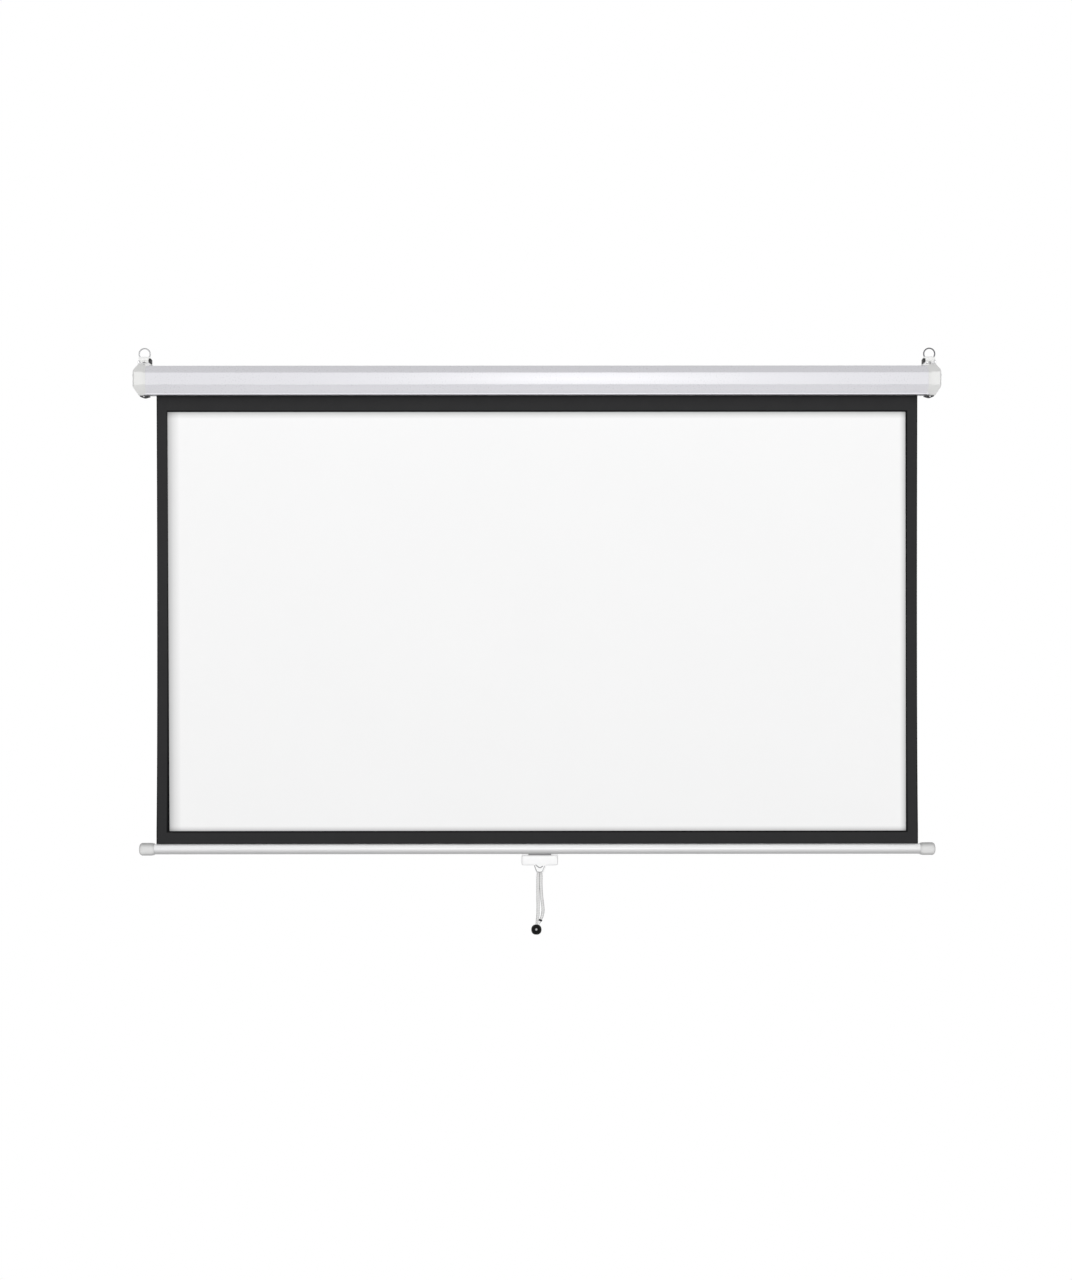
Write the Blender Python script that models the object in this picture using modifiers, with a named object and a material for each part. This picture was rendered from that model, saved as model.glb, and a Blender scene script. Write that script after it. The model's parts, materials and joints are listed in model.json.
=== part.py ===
# Pull down projector screen, hung up and pulled down to its lock.
# Metres, +Z up, the viewer stands at -Y. The origin lies midway between the eyes of
# the two hanging loops. Left and right are the viewer's.
import math

import bmesh
import bpy
from mathutils import Vector

# Picture and cloth
VIEW_WIDTH = 1.860
VIEW_HEIGHT = 1.0565
SIDE_BORDER = 0.028
TOP_BORDER = 0.0405  # black cloth that shows under the case
BOTTOM_BORDER = 0.033  # black cloth that shows over the weight bar
CLOTH_THICKNESS = 0.0006
COAT_THICKNESS = 0.0003

# Clearances
GAP = 0.0003  # between neighbours that touch
RUNNING_GAP = 0.0005  # between pieces that turn in one another
STOP_GAP = 0.0005  # left when the bar is up against its bumpers
MERGE = 0.002  # how far shapes that become one run into each other
PAST = 0.001  # how far a cutting shape runs past the face that it cuts
WELD = 0.00001  # points nearer than this are one

# Case, an eight-sided tube with a slot below
HANG_DROP = 0.0658  # from the loop eyes down to the middle of the case
CASE_FLATS = 0.069
CASE_FACE = 0.030
CASE_WALL = 0.0008
LIP_DROP = 0.0036
SLOT_BEFORE_CLOTH = 0.0085
SLOT_BEHIND_CLOTH = 0.0043
HEM_HEIGHT = 0.0042

# End caps
CAP_FLATS = 0.079
CAP_FACE = 0.032
CAP_LENGTH = 0.032
CAP_ROUND = 0.013
CAP_SOCKET = 0.0175
CAP_END_WALL = 0.004
CAP_SIDE_WALL = 0.007
TONGUE_REACH = 0.012
TONGUE_WIDTH = 0.030
TONGUE_STEP = 0.0002  # down from the cap's top to the tongue
BOSS_RADIUS = 0.0045
CAP_SCREW_SPREAD = 0.036
CAP_SCREW_DROP = 0.010

# Screws
SCREW_RADIUS = 0.0019
SCREW_HEAD_RADIUS = 0.0038
SCREW_HEAD_HEIGHT = 0.0022

# Brackets, bush and bumpers
BRACKET_THICKNESS = 0.003
BUSH_RADIUS = 0.007
BUSH_FLANGE_RADIUS = 0.0095
BUSH_FLANGE = 0.0016
BUSH_REACH = 0.006
BUMPER_SIZE = (0.024, 0.020, 0.0045)
BUMPER_EDGE = 0.0012

# Roller
ROLLER_Y = -0.007
ROLLER_RADIUS = 0.019
ROLLER_WALL = 0.0009
ROLLER_MARGIN = 0.010  # tube beyond the cloth at each end
WRAP_DEPTH = 0.0006  # reserve turns that stay on the roller
PLUG_DEPTH = 0.022
PLUG_FLANGE = 0.003
IDLE_PIN_RADIUS = 0.004
IDLE_PIN_DEPTH = 0.016

# Spring motor
SHAFT_RADIUS = 0.004
SHAFT_LENGTH = 0.330
SHAFT_NOSE = 0.004  # shaft beyond the anchor
SPEAR_WIDTH = 0.010
SPEAR_DEPTH = 0.005
SPEAR_LENGTH = 0.006
ANCHOR_LENGTH = 0.016
SPRING_RADIUS = 0.0095
SPRING_WIRE = 0.0018
SPRING_TURNS = 16
SPRING_POINTS = 8  # in each turn
SPRING_MARGIN = 0.006

# Ratchet
RATCHET_RADIUS = 0.0075
RATCHET_ROOT = 0.0053
RATCHET_WIDTH = 0.005
RATCHET_TEETH = 4
TOOTH_ANGLE = 25
NOTCH_START = -62  # degrees from straight up, towards the viewer
RATCHET_OFFSET = 0.0015
PAWL_PIVOT = 0.0135  # from the roller's axis to each pawl's pin
PAWL_LENGTH = 0.009
PAWL_SWING = 41.4  # degrees between the pawl and its way to the axis, when released
PAWL_EYE_RADIUS = 0.0030
PAWL_TIP_RADIUS = 0.0010
PAWL_WIDTH = 0.004
PAWL_PIN_RADIUS = 0.0013
PAWL_PIN_HEAD = 0.0022
LOCK_ROOM = 0.0167  # from the ratchet wheel to the bracket

# Weight bar
BAR_RADIUS = 0.013
BAR_WALL = 0.0010
BAR_SLOT = 0.0026
BAR_MARGIN = 0.0075  # bar beyond the cloth, as far as its cap
BAR_CAP_RADIUS = 0.016
BAR_CAP_LENGTH = 0.038
BAR_CAP_ROUND = 0.008
BAR_CAP_END = 0.007
BAR_CAP_LEAD = 0.006
BAR_CAP_MOUTH = 0.0145
BEAD_RADIUS = 0.0025
ROD_RADIUS = 0.0055
ROD_MARGIN = 0.001  # cloth beyond the rod

# Pull handle
HANDLE_X = 0.006
HANDLE_WIDTH = 0.092
HANDLE_HEIGHT = 0.026
HANDLE_DEPTH = 0.016
HANDLE_CORNER = 0.005
HANDLE_EDGE = 0.0015
HANDLE_DROP = 0.002  # light that shows between the bar and the handle
LUG_WIDTH = 0.016
LUG_HEIGHT = 0.006
NECK_TOP = 0.030
NECK_FOOT = 0.0175
NECK_HEIGHT = 0.018
HANDLE_SCREW_INSET = 0.011  # from the handle's end
HANDLE_COUNTERBORE = 0.0045
HANDLE_SCREW_SEAT = 0.010

# Pull cord
CORD_DIAMETER = 0.0063
CORD_RISE = 0.0025  # cord inside the handle's mouth
MOUTH_DEPTH = 0.0055
MOUTH_WIDTH = 0.0145
MOUTH_THROAT = 0.0120
TAIL_DIAMETER = 0.0024
CRIMP_RADIUS = 0.0037
CRIMP_HEIGHT = 0.004
CRIMP_EDGE = 0.0006
BALL_RADIUS = 0.0129
BALL_FOOT = 0.0045
BALL_DROP = 0.1459  # from the cord's hinge to the middle of the ball
BALL_X = -0.0065  # from the middle of the handle
CORD_STEP = 2.2  # diameters from each point of a cord to the next
# Routes from the cord's hinge, sideways and down, as the cord hangs in folds left by packing
LEFT_ROUTE = [
    (-0.0034, 0.0), (-0.0034, -0.020), (-0.0035, -0.045), (-0.0036, -0.070),
    (-0.0036, -0.092), (-0.0038, -0.110), (-0.0047, -0.122), (-0.0058, -0.1327),
]
RIGHT_ROUTE = [
    (0.0034, 0.0), (0.0034, -0.018), (0.0036, -0.040), (0.0056, -0.064),
    (0.0092, -0.085), (0.0104, -0.099), (0.0083, -0.112), (0.0052, -0.1218),
]
TAIL_ROUTE = [(0.0037, -0.1268), (0.0028, -0.1295), (0.0010, -0.1318), (-0.0006, -0.13395)]

# Hanging loops
HANGER_INSET = 0.0065  # from the end cap's inner end out to the middle of the hanger
LOOP_RADIUS = 0.0155
LOOP_BAND = 0.0032
LOOP_THICKNESS = 0.003
LOOP_FLAT = 0.0075  # from the eye's middle down to its flat
LOOP_FOOT_WIDTH = 0.0205
LOOP_WRAP = 6  # degrees that the band runs on below the eye's flat
LOOP_SHOULDER = 0.0101  # from the eye's middle down to where the foot is narrow
LOOP_PIN_DROP = 0.0195  # from the eye's middle down to the hinge pin
LOOP_BARREL = 0.004
LOOP_PIN_RADIUS = 0.002
PIN_HEAD_RADIUS = 0.0032
PIN_HEAD = 0.0012
SEAT_WIDTH = 0.031
SEAT_DEPTH = 0.028
SEAT_THICKNESS = 0.002
EAR_THICKNESS = 0.0025
EAR_RADIUS = 0.005
BLOCK_WIDTH = 0.0048
BLOCK_CLEARANCE = 0.001  # from the block's top up to where the loop grows wide
HANGER_SCREW_Y = -0.0095
HANGER_SCREW_DEPTH = 0.0035

# Places that follow from the sizes above
CASE_Z = -HANG_DROP
WOUND_RADIUS = ROLLER_RADIUS + GAP + WRAP_DEPTH
CLOTH_Y = ROLLER_Y + WOUND_RADIUS + GAP + CLOTH_THICKNESS / 2
CLOTH_WIDTH = VIEW_WIDTH + 2 * SIDE_BORDER
LIP_Z = CASE_Z - CASE_FLATS / 2 - LIP_DROP
VIEW_TOP = LIP_Z - TOP_BORDER
VIEW_FOOT = VIEW_TOP - VIEW_HEIGHT
BAR_Z = VIEW_FOOT - BOTTOM_BORDER - BAR_RADIUS
ROLLER_END = CLOTH_WIDTH / 2 + ROLLER_MARGIN
RATCHET_START = ROLLER_END + GAP + PLUG_FLANGE + RATCHET_OFFSET
BRACKET_INNER = RATCHET_START + RATCHET_WIDTH + LOCK_ROOM
BRACKET_OUTER = BRACKET_INNER + BRACKET_THICKNESS
CASE_END = BRACKET_OUTER
CAP_INNER = CASE_END - CAP_SOCKET
CAP_OUTER = CAP_INNER + CAP_LENGTH
HANGER_X = CAP_INNER + HANGER_INSET
CAP_TOP = CASE_Z + CAP_FLATS / 2
CAP_FOOT = CASE_Z - CAP_FLATS / 2
BUMPER_FOOT = CAP_FOOT - GAP - BUMPER_SIZE[2]
BAR_TRAVEL = BUMPER_FOOT - STOP_GAP - BAR_CAP_RADIUS - BAR_Z
BAR_FOOT = BAR_Z - BAR_RADIUS
HANDLE_TOP = BAR_FOOT - HANDLE_DROP
HANDLE_FOOT = HANDLE_TOP - HANDLE_HEIGHT
NECK_FOOT_Z = HANDLE_FOOT - NECK_HEIGHT
CORD_HINGE_Z = NECK_FOOT_Z + CORD_RISE
BAR_CAP_INNER = CLOTH_WIDTH / 2 + BAR_MARGIN
BAR_END = BAR_CAP_INNER + BAR_CAP_LENGTH - BAR_CAP_END - GAP
SHAFT_START = BRACKET_INNER - SHAFT_LENGTH
SEAT_Z = CAP_TOP + GAP

# Edges sharper than this are rounded, in degrees, and flatter than the other are shaded smooth
ROUNDED_FROM = 40
SMOOTH_BELOW = 35

# Turns that stand a local Z along a world axis
ALONG_X = (math.pi / 2, 0, math.pi / 2)
ALONG_MINUS_X = (math.pi / 2, 0, -math.pi / 2)
ALONG_Y = (math.pi / 2, 0, 0)
UPRIGHT = (0, 0, 0)

SIDES = (("left", -1), ("right", 1))


def clear_scene():
    for thing in list(bpy.data.objects):
        bpy.data.objects.remove(thing, do_unlink=True)


def collection(name):
    group = bpy.data.collections.new(name)
    bpy.context.scene.collection.children.link(group)
    return group


def finish(name, colour, roughness, metallic=0.0):
    found = bpy.data.materials.get(name)
    if found:
        return found
    made = bpy.data.materials.new(name)
    made.use_nodes = True
    shader = made.node_tree.nodes["Principled BSDF"]
    shader.inputs["Base Color"].default_value = (*colour, 1)
    shader.inputs["Roughness"].default_value = roughness
    shader.inputs["Metallic"].default_value = metallic
    return made


def white_enamel():
    return finish("white_enamel", (0.80, 0.80, 0.83), 0.35)


def white_plastic():
    return finish("white_plastic", (0.82, 0.82, 0.82), 0.45)


def bright_steel():
    return finish("bright_steel", (0.72, 0.72, 0.73), 0.28, 1.0)


def galvanised_steel():
    return finish("galvanised_steel", (0.55, 0.56, 0.58), 0.45, 1.0)


def black_plastic():
    return finish("black_plastic", (0.03, 0.03, 0.03), 0.4)


def black_rubber():
    return finish("black_rubber", (0.035, 0.035, 0.04), 0.8)


def black_cloth():
    return finish("black_cloth", (0.035, 0.035, 0.035), 0.85)


def matt_white_coat():
    return finish("matt_white_coat", (0.92, 0.92, 0.92), 0.9)


def silver_enamel():
    return finish("silver_enamel", (0.70, 0.70, 0.71), 0.35, 0.3)


def white_cord():
    return finish("white_cord", (0.85, 0.85, 0.85), 0.8)


def spring_steel():
    return finish("spring_steel", (0.30, 0.30, 0.32), 0.4, 1.0)


def nylon():
    return finish("nylon", (0.75, 0.73, 0.66), 0.5)


def empty_at(name, place, parent=None):
    marker = bpy.data.objects.new(name, None)
    marker.empty_display_size = 0.02
    parts.objects.link(marker)
    marker.location = place
    if parent:
        ride(marker, parent)
    return marker


def world_place(thing):
    place = Vector(thing.location)
    if thing.parent:
        place += world_place(thing.parent)
    return place


def ride(thing, parent):
    """Hang a thing that stands at a world place on an empty, where it is."""
    place = Vector(thing.location)
    thing.parent = parent
    thing.location = place - world_place(parent)


def shown(thing, material, parent=None):
    if thing.name not in parts.objects:
        parts.objects.link(thing)
    thing.data.materials.clear()
    thing.data.materials.append(material)
    if parent:
        ride(thing, parent)
    return thing


def guide(thing):
    """Keep a cutting or joining shape out of sight."""
    for group in list(thing.users_collection):
        group.objects.unlink(thing)
    cutters.objects.link(thing)
    thing.hide_render = True
    thing.display_type = "WIRE"
    return thing


def mesh_object(name, work):
    mesh = bpy.data.meshes.new(name)
    work.to_mesh(mesh)
    work.free()
    thing = bpy.data.objects.new(name, mesh)
    return thing


def as_mesh(thing):
    """Make a curve object a mesh with welded caps, at the same place."""
    cutters.objects.link(thing)
    bpy.context.view_layer.update()
    seen = thing.evaluated_get(bpy.context.evaluated_depsgraph_get())
    mesh = bpy.data.meshes.new_from_object(seen)
    work = bmesh.new()
    work.from_mesh(mesh)
    bmesh.ops.remove_doubles(work, verts=work.verts, dist=WELD)
    work.to_mesh(mesh)
    work.free()
    name = thing.name
    stands = thing.matrix_world.copy()
    bpy.data.objects.remove(thing, do_unlink=True)
    made = bpy.data.objects.new(name, mesh)
    made.matrix_world = stands
    return made


def boolean(thing, other, operation, solver="EXACT"):
    step = thing.modifiers.new(f"{operation.lower()} {other.name}", "BOOLEAN")
    step.operation = operation
    step.solver = solver
    step.object = guide(other)
    return thing


def cut(thing, *others, solver="EXACT"):
    for other in others:
        boolean(thing, other, "DIFFERENCE", solver)
    return thing


def join(thing, *others):
    for other in others:
        boolean(thing, other, "UNION")
    return thing


def bevel(thing, width, segments=2):
    step = thing.modifiers.new("rounded edges", "BEVEL")
    step.width = width
    step.segments = segments
    step.limit_method = "ANGLE"
    step.angle_limit = math.radians(ROUNDED_FROM)
    return thing


def smooth(thing):
    thing.data.shade_smooth()
    thing.data.set_sharp_from_angle(angle=math.radians(SMOOTH_BELOW))
    return thing


def box(name, low, high):
    work = bmesh.new()
    bmesh.ops.create_cube(work, size=1)
    middle = (Vector(low) + Vector(high)) / 2
    size = Vector(high) - Vector(low)
    for vert in work.verts:
        vert.co = Vector(a * b for a, b in zip(vert.co, size))
    thing = mesh_object(name, work)
    thing.location = middle
    return thing


def rod(name, radius, start, end, turn=ALONG_X, sides=24):
    """A round bar between two world points that lie along the turn's axis."""
    work = bmesh.new()
    length = (Vector(end) - Vector(start)).length
    bmesh.ops.create_cone(
        work, cap_ends=True, segments=sides, radius1=radius, radius2=radius, depth=length
    )
    thing = mesh_object(name, work)
    thing.location = (Vector(start) + Vector(end)) / 2
    thing.rotation_euler = turn
    return smooth(thing)


def prism(name, rings, depth, place, turn=ALONG_X, edge=0.0):
    """A flat outline with any holes, given depth about its own plane, its edges broken if asked."""
    curve = bpy.data.curves.new(name, "CURVE")
    curve.dimensions = "2D"
    curve.fill_mode = "BOTH"
    curve.extrude = depth / 2 - edge
    curve.bevel_depth = edge
    curve.bevel_resolution = 1
    curve.offset = -edge
    curve.render_resolution_u = 0
    for ring in rings:
        line = curve.splines.new("POLY")
        line.points.add(len(ring) - 1)
        line.use_cyclic_u = True
        for point, (across, up) in zip(line.points, ring):
            point.co = (across, up, 0, 1)
    thing = bpy.data.objects.new(name, curve)
    thing.location = place
    thing.rotation_euler = turn
    return thing


def tube(name, points, diameter, fineness=2):
    """A round cord or wire through world points."""
    curve = bpy.data.curves.new(name, "CURVE")
    curve.dimensions = "3D"
    curve.bevel_depth = diameter / 2
    curve.bevel_resolution = fineness
    curve.use_fill_caps = True
    curve.render_resolution_u = 0
    line = curve.splines.new("POLY")
    line.points.add(len(points) - 1)
    first = Vector(points[0])
    for point, place in zip(line.points, points):
        point.co = (*(Vector(place) - first), 1)
    thing = bpy.data.objects.new(name, curve)
    thing.location = first
    return thing


def turned(name, profile, place, turn=ALONG_X, steps=24, closed=False):
    """A profile of radius and height, from its top down its outer side, turned full circle."""
    mesh = bpy.data.meshes.new(name)
    count = len(profile)
    edges = [(i, i + 1) for i in range(count - 1)]
    if closed:
        edges.append((count - 1, 0))
    mesh.from_pydata([(radius, 0, height) for radius, height in profile], edges, [])
    thing = bpy.data.objects.new(name, mesh)
    thing.location = place
    thing.rotation_euler = turn
    screw = thing.modifiers.new("turned", "SCREW")
    screw.axis = "Z"
    screw.steps = steps
    screw.render_steps = steps
    screw.use_merge_vertices = True
    screw.merge_threshold = WELD
    screw.use_smooth_shade = False
    return thing


def arc(middle, radius, start, end, steps):
    """Points on an arc, angles in degrees."""
    points = []
    for i in range(steps + 1):
        angle = math.radians(start + (end - start) * i / steps)
        points.append((middle[0] + radius * math.cos(angle), middle[1] + radius * math.sin(angle)))
    return points


def circle(middle, radius, sides=24):
    return arc(middle, radius, 0, 360, sides)[:-1]


def octagon(flats, face):
    """An eight-sided outline with upright and level faces of one length."""
    far = flats / 2
    near = face / 2
    corners = [(far, near), (near, far), (-near, far), (-far, near)]
    return corners + [(-a, -b) for a, b in corners]


def grown(outline, distance):
    """The outline moved out by a distance all round, or in if it is negative."""
    turning = sum(a[0] * b[1] - b[0] * a[1] for a, b in zip(outline, outline[1:] + outline[:1]))
    out = 1 if turning > 0 else -1
    moved = []
    for before, here, after in zip(outline[-1:] + outline[:-1], outline, outline[1:] + outline[:1]):
        first = (Vector(here) - Vector(before)).normalized()
        second = (Vector(after) - Vector(here)).normalized()
        first_out = Vector((first.y, -first.x)) * out
        second_out = Vector((second.y, -second.x)) * out
        mitre = (first_out + second_out).normalized()
        moved.append(tuple(Vector(here) + mitre * distance / mitre.dot(first_out)))
    return moved


def smooth_route(points, spacing):
    """Even points on the smooth curve through a cord's route."""
    knots = [2 * Vector(points[0]) - Vector(points[1])]
    knots += [Vector(point) for point in points]
    knots.append(2 * knots[-1] - knots[-2])
    fine = []
    steps = 20
    for a, b, c, d in zip(knots, knots[1:], knots[2:], knots[3:]):
        for i in range(steps):
            t = i / steps
            fine.append(
                0.5 * ((2 * b) + (c - a) * t + (2 * a - 5 * b + 4 * c - d) * t * t
                       + (3 * b - a - 3 * c + d) * t * t * t)
            )
    fine.append(knots[-2])
    total = sum((q - p).length for p, q in zip(fine, fine[1:]))
    count = max(2, round(total / spacing))
    route, walked, step = [fine[0]], 0.0, total / count
    for p, q in zip(fine, fine[1:]):
        walked += (q - p).length
        if walked >= step and len(route) < count:
            route.append(q)
            walked -= step
    route.append(fine[-1])
    return route, total


def in_order(one, other):
    return min(one, other), max(one, other)


def cap_block(name, outline, start, end, side):
    """An outline about the case's middle, run between two distances from the centre."""
    middle = side * (start + end) / 2
    return as_mesh(prism(name, [outline], end - start, (middle, 0, CASE_Z)))


def case_sides():
    """The case's eight sides, from the foot of its front lip round to the foot of its rear lip."""
    half = CASE_FLATS / 2
    near = CASE_FACE / 2
    rear = CLOTH_Y + SLOT_BEHIND_CLOTH + CASE_WALL
    return [
        (-near, -half), (-half, -near), (-half, near), (-near, half), (near, half), (half, near),
        (half, -rear), (rear, -half),
    ]


def case_outline():
    """The outside of the case with its lips, closed across the slot."""
    sides = case_sides()
    lip = LIP_Z - CASE_Z
    return [(sides[0][0], lip), *sides, (sides[-1][0], lip)]


def case_shell():
    lip = LIP_Z - CASE_Z
    front_slot = CLOTH_Y - SLOT_BEFORE_CLOTH
    profile = [(front_slot, lip + HEM_HEIGHT), (front_slot, lip), *case_outline()]
    work = bmesh.new()
    rows = []
    for x in (-CASE_END, CASE_END):
        rows.append([work.verts.new((x, y, z)) for y, z in profile])
    for i in range(len(profile) - 1):
        work.faces.new((rows[0][i], rows[1][i], rows[1][i + 1], rows[0][i + 1]))
    thing = mesh_object("case_shell", work)
    thing.location = (0, 0, CASE_Z)
    shell = thing.modifiers.new("sheet", "SOLIDIFY")
    shell.thickness = CASE_WALL
    shell.offset = -1
    shell.use_even_offset = True
    return shown(thing, white_enamel())


def end_cap(name, side):
    body = cap_block(f"end_cap_{name}", octagon(CAP_FLATS, CAP_FACE), CAP_INNER, CAP_OUTER, side)
    work = bmesh.new()
    work.from_mesh(body.data)
    outer_height = max(vert.co.z * side for vert in work.verts)
    rim = [
        edge for edge in work.edges
        if all(vert.co.z * side > outer_height - WELD for vert in edge.verts)
        and len({face.normal.z > 0.5 or face.normal.z < -0.5 for face in edge.link_faces}) == 2
    ]
    bmesh.ops.bevel(work, geom=rim, offset=CAP_ROUND, segments=4, profile=0.5, affect="EDGES")
    work.to_mesh(body.data)
    work.free()
    tongue_low, tongue_high = in_order(side * (CAP_INNER - TONGUE_REACH), side * (CAP_INNER + MERGE))
    tongue = box(
        f"tongue_{name}",
        (tongue_low, -TONGUE_WIDTH / 2, CASE_Z + CASE_FLATS / 2 + GAP),
        (tongue_high, TONGUE_WIDTH / 2, CAP_TOP - TONGUE_STEP),
    )
    socket = cap_block(
        f"socket_{name}", grown(case_outline(), GAP), CAP_INNER - PAST, CASE_END + GAP, side
    )
    inside = grown(octagon(CAP_FLATS, CAP_FACE), -CAP_SIDE_WALL)
    hollow = cap_block(f"hollow_{name}", inside, CASE_END, CAP_OUTER - CAP_END_WALL, side)
    cut(body, socket, hollow)
    join(body, tongue)
    for number, (y, z) in enumerate(cap_screw_places()):
        start = (side * (CASE_END + GAP), y, z)
        end = (side * (CAP_OUTER - CAP_END_WALL + MERGE), y, z)
        boss = rod(f"boss_{name}_{number}", BOSS_RADIUS, start, end)
        join(body, boss)
    for number, (y, z) in enumerate(cap_screw_places()):
        start = (side * (CASE_END - PAST), y, z)
        end = (side * (CAP_OUTER + PAST), y, z)
        bore = rod(f"bore_{name}_{number}", SCREW_RADIUS + GAP, start, end)
        cut(body, bore)
    hanger_hole = rod(
        f"hanger_hole_{name}", SCREW_RADIUS + GAP,
        (side * HANGER_X, HANGER_SCREW_Y, CAP_TOP - HANGER_SCREW_DEPTH),
        (side * HANGER_X, HANGER_SCREW_Y, CAP_TOP + PAST), UPRIGHT,
    )
    cut(body, hanger_hole)
    return shown(body, white_plastic())


def cap_screw_places():
    half = CAP_SCREW_SPREAD / 2
    return [(-half, CASE_Z + CAP_SCREW_DROP), (half, CASE_Z - CAP_SCREW_DROP)]


def screw(name, length, place, turn, material, parent=None):
    """A dome-headed screw whose head stands on the place and whose shank runs back from it."""
    dome = [(0, 1), *arc((0, 0), 1, 90, 0, 4)[1:]]
    profile = [(SCREW_HEAD_RADIUS * across, SCREW_HEAD_HEIGHT * up) for across, up in dome]
    profile += [(SCREW_RADIUS, 0), (SCREW_RADIUS, -length), (0, -length)]
    thing = turned(name, profile, place, turn, steps=16)
    return shown(thing, material, parent)


def cap_screws(name, side):
    length = CAP_OUTER - BRACKET_INNER
    turn = ALONG_X if side > 0 else ALONG_MINUS_X
    for label, (y, z) in zip(("front", "rear"), cap_screw_places()):
        place = (side * (CAP_OUTER + GAP), y, z)
        screw(f"cap_screw_{name}_{label}", length, place, turn, bright_steel())


def end_bracket(name, side):
    holes = [circle((y, z - CASE_Z), SCREW_RADIUS + GAP, 16) for y, z in cap_screw_places()]
    if side < 0:
        holes.append(circle((ROLLER_Y, 0), BUSH_RADIUS + GAP))
    else:
        wide = SPEAR_WIDTH / 2 + GAP
        deep = SPEAR_DEPTH / 2 + GAP
        corners = [(-deep, -wide), (deep, -wide), (deep, wide), (-deep, wide)]
        holes.append([(ROLLER_Y + y, z) for y, z in corners])
    x = side * (BRACKET_INNER + BRACKET_OUTER) / 2
    outline = grown(case_sides(), -CASE_WALL - GAP)
    plate = prism(f"end_bracket_{name}", [outline, *holes], BRACKET_THICKNESS, (x, 0, CASE_Z))
    return shown(plate, galvanised_steel())


def idle_bush():
    outer = BRACKET_THICKNESS
    bore = IDLE_PIN_RADIUS + GAP
    profile = [
        (bore, outer), (BUSH_RADIUS, outer), (BUSH_RADIUS, -GAP), (BUSH_FLANGE_RADIUS, -GAP),
        (BUSH_FLANGE_RADIUS, -GAP - BUSH_FLANGE), (BUSH_RADIUS, -GAP - BUSH_FLANGE),
        (BUSH_RADIUS, -BUSH_REACH), (bore, -BUSH_REACH),
    ]
    place = (-BRACKET_INNER, ROLLER_Y, CASE_Z)
    return shown(turned("idle_bush", profile, place, ALONG_MINUS_X, closed=True), nylon())


def bumper(name, side):
    wide, deep, high = BUMPER_SIZE
    x = side * HANGER_X
    low = (x - wide / 2, CAP_FACE / 2 - deep, BUMPER_FOOT)
    thing = box(f"bumper_{name}", low, (x + wide / 2, CAP_FACE / 2, BUMPER_FOOT + high))
    return shown(bevel(thing, BUMPER_EDGE), black_rubber())


def hanger_seat(name, side):
    """The steel seat with its outer ear, screwed to the end cap's top."""
    x = side * HANGER_X
    deep = SEAT_DEPTH / 2
    wide = SEAT_WIDTH / 2
    seat = box(
        f"hanger_seat_{name}", (x - wide, -deep, SEAT_Z), (x + wide, deep, SEAT_Z + SEAT_THICKNESS)
    )
    outer = HANGER_X + wide
    ear_x = side * (outer - EAR_THICKNESS / 2)
    pin_height = -LOOP_PIN_DROP - SEAT_Z
    outline = [(-EAR_RADIUS, SEAT_THICKNESS / 2), (EAR_RADIUS, SEAT_THICKNESS / 2)]
    outline += arc((0, pin_height), EAR_RADIUS, 0, 180, 10)
    ear = as_mesh(prism(f"ear_{name}", [outline], EAR_THICKNESS, (ear_x, 0, SEAT_Z)))
    join(seat, ear)
    pin_from = (side * (outer - EAR_THICKNESS - PAST), 0, -LOOP_PIN_DROP)
    pin_to = (side * (outer + PAST), 0, -LOOP_PIN_DROP)
    cut(seat, rod(f"ear_bore_{name}", LOOP_PIN_RADIUS + GAP, pin_from, pin_to))
    screw_low = (x, HANGER_SCREW_Y, SEAT_Z - PAST)
    screw_high = (x, HANGER_SCREW_Y, SEAT_Z + SEAT_THICKNESS + PAST)
    cut(seat, rod(f"seat_bore_{name}", SCREW_RADIUS + GAP, screw_low, screw_high, UPRIGHT))
    return shown(seat, bright_steel())


def hinge_block(name, side):
    """The black block that grips the pin beside each loop."""
    inner = HANGER_X - SEAT_WIDTH / 2
    foot = SEAT_Z + SEAT_THICKNESS + GAP
    pin_height = -LOOP_PIN_DROP - foot
    top = -LOOP_SHOULDER - BLOCK_CLEARANCE - foot
    outline = [(-EAR_RADIUS, 0), (EAR_RADIUS, 0)]
    outline += arc((0, top - EAR_RADIUS), EAR_RADIUS, 0, 180, 10)
    hole = circle((0, pin_height), LOOP_PIN_RADIUS + GAP, 16)
    x = side * (inner + BLOCK_WIDTH / 2)
    block = prism(f"hinge_block_{name}", [outline, hole], BLOCK_WIDTH, (x, 0, foot))
    return shown(block, black_plastic())


def loop_pin(name, side):
    """The pin through the ear, the loop's barrel and the block, with its head outside."""
    head_from = SEAT_WIDTH / 2 + GAP
    inner = -SEAT_WIDTH / 2 + GAP
    profile = [
        (0, head_from + PIN_HEAD), (PIN_HEAD_RADIUS, head_from + PIN_HEAD),
        (PIN_HEAD_RADIUS, head_from), (LOOP_PIN_RADIUS, head_from),
        (LOOP_PIN_RADIUS, inner), (0, inner),
    ]
    turn = ALONG_X if side > 0 else ALONG_MINUS_X
    place = (side * HANGER_X, 0, -LOOP_PIN_DROP)
    return shown(turned(f"loop_pin_{name}", profile, place, turn, steps=16), bright_steel())


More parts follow.
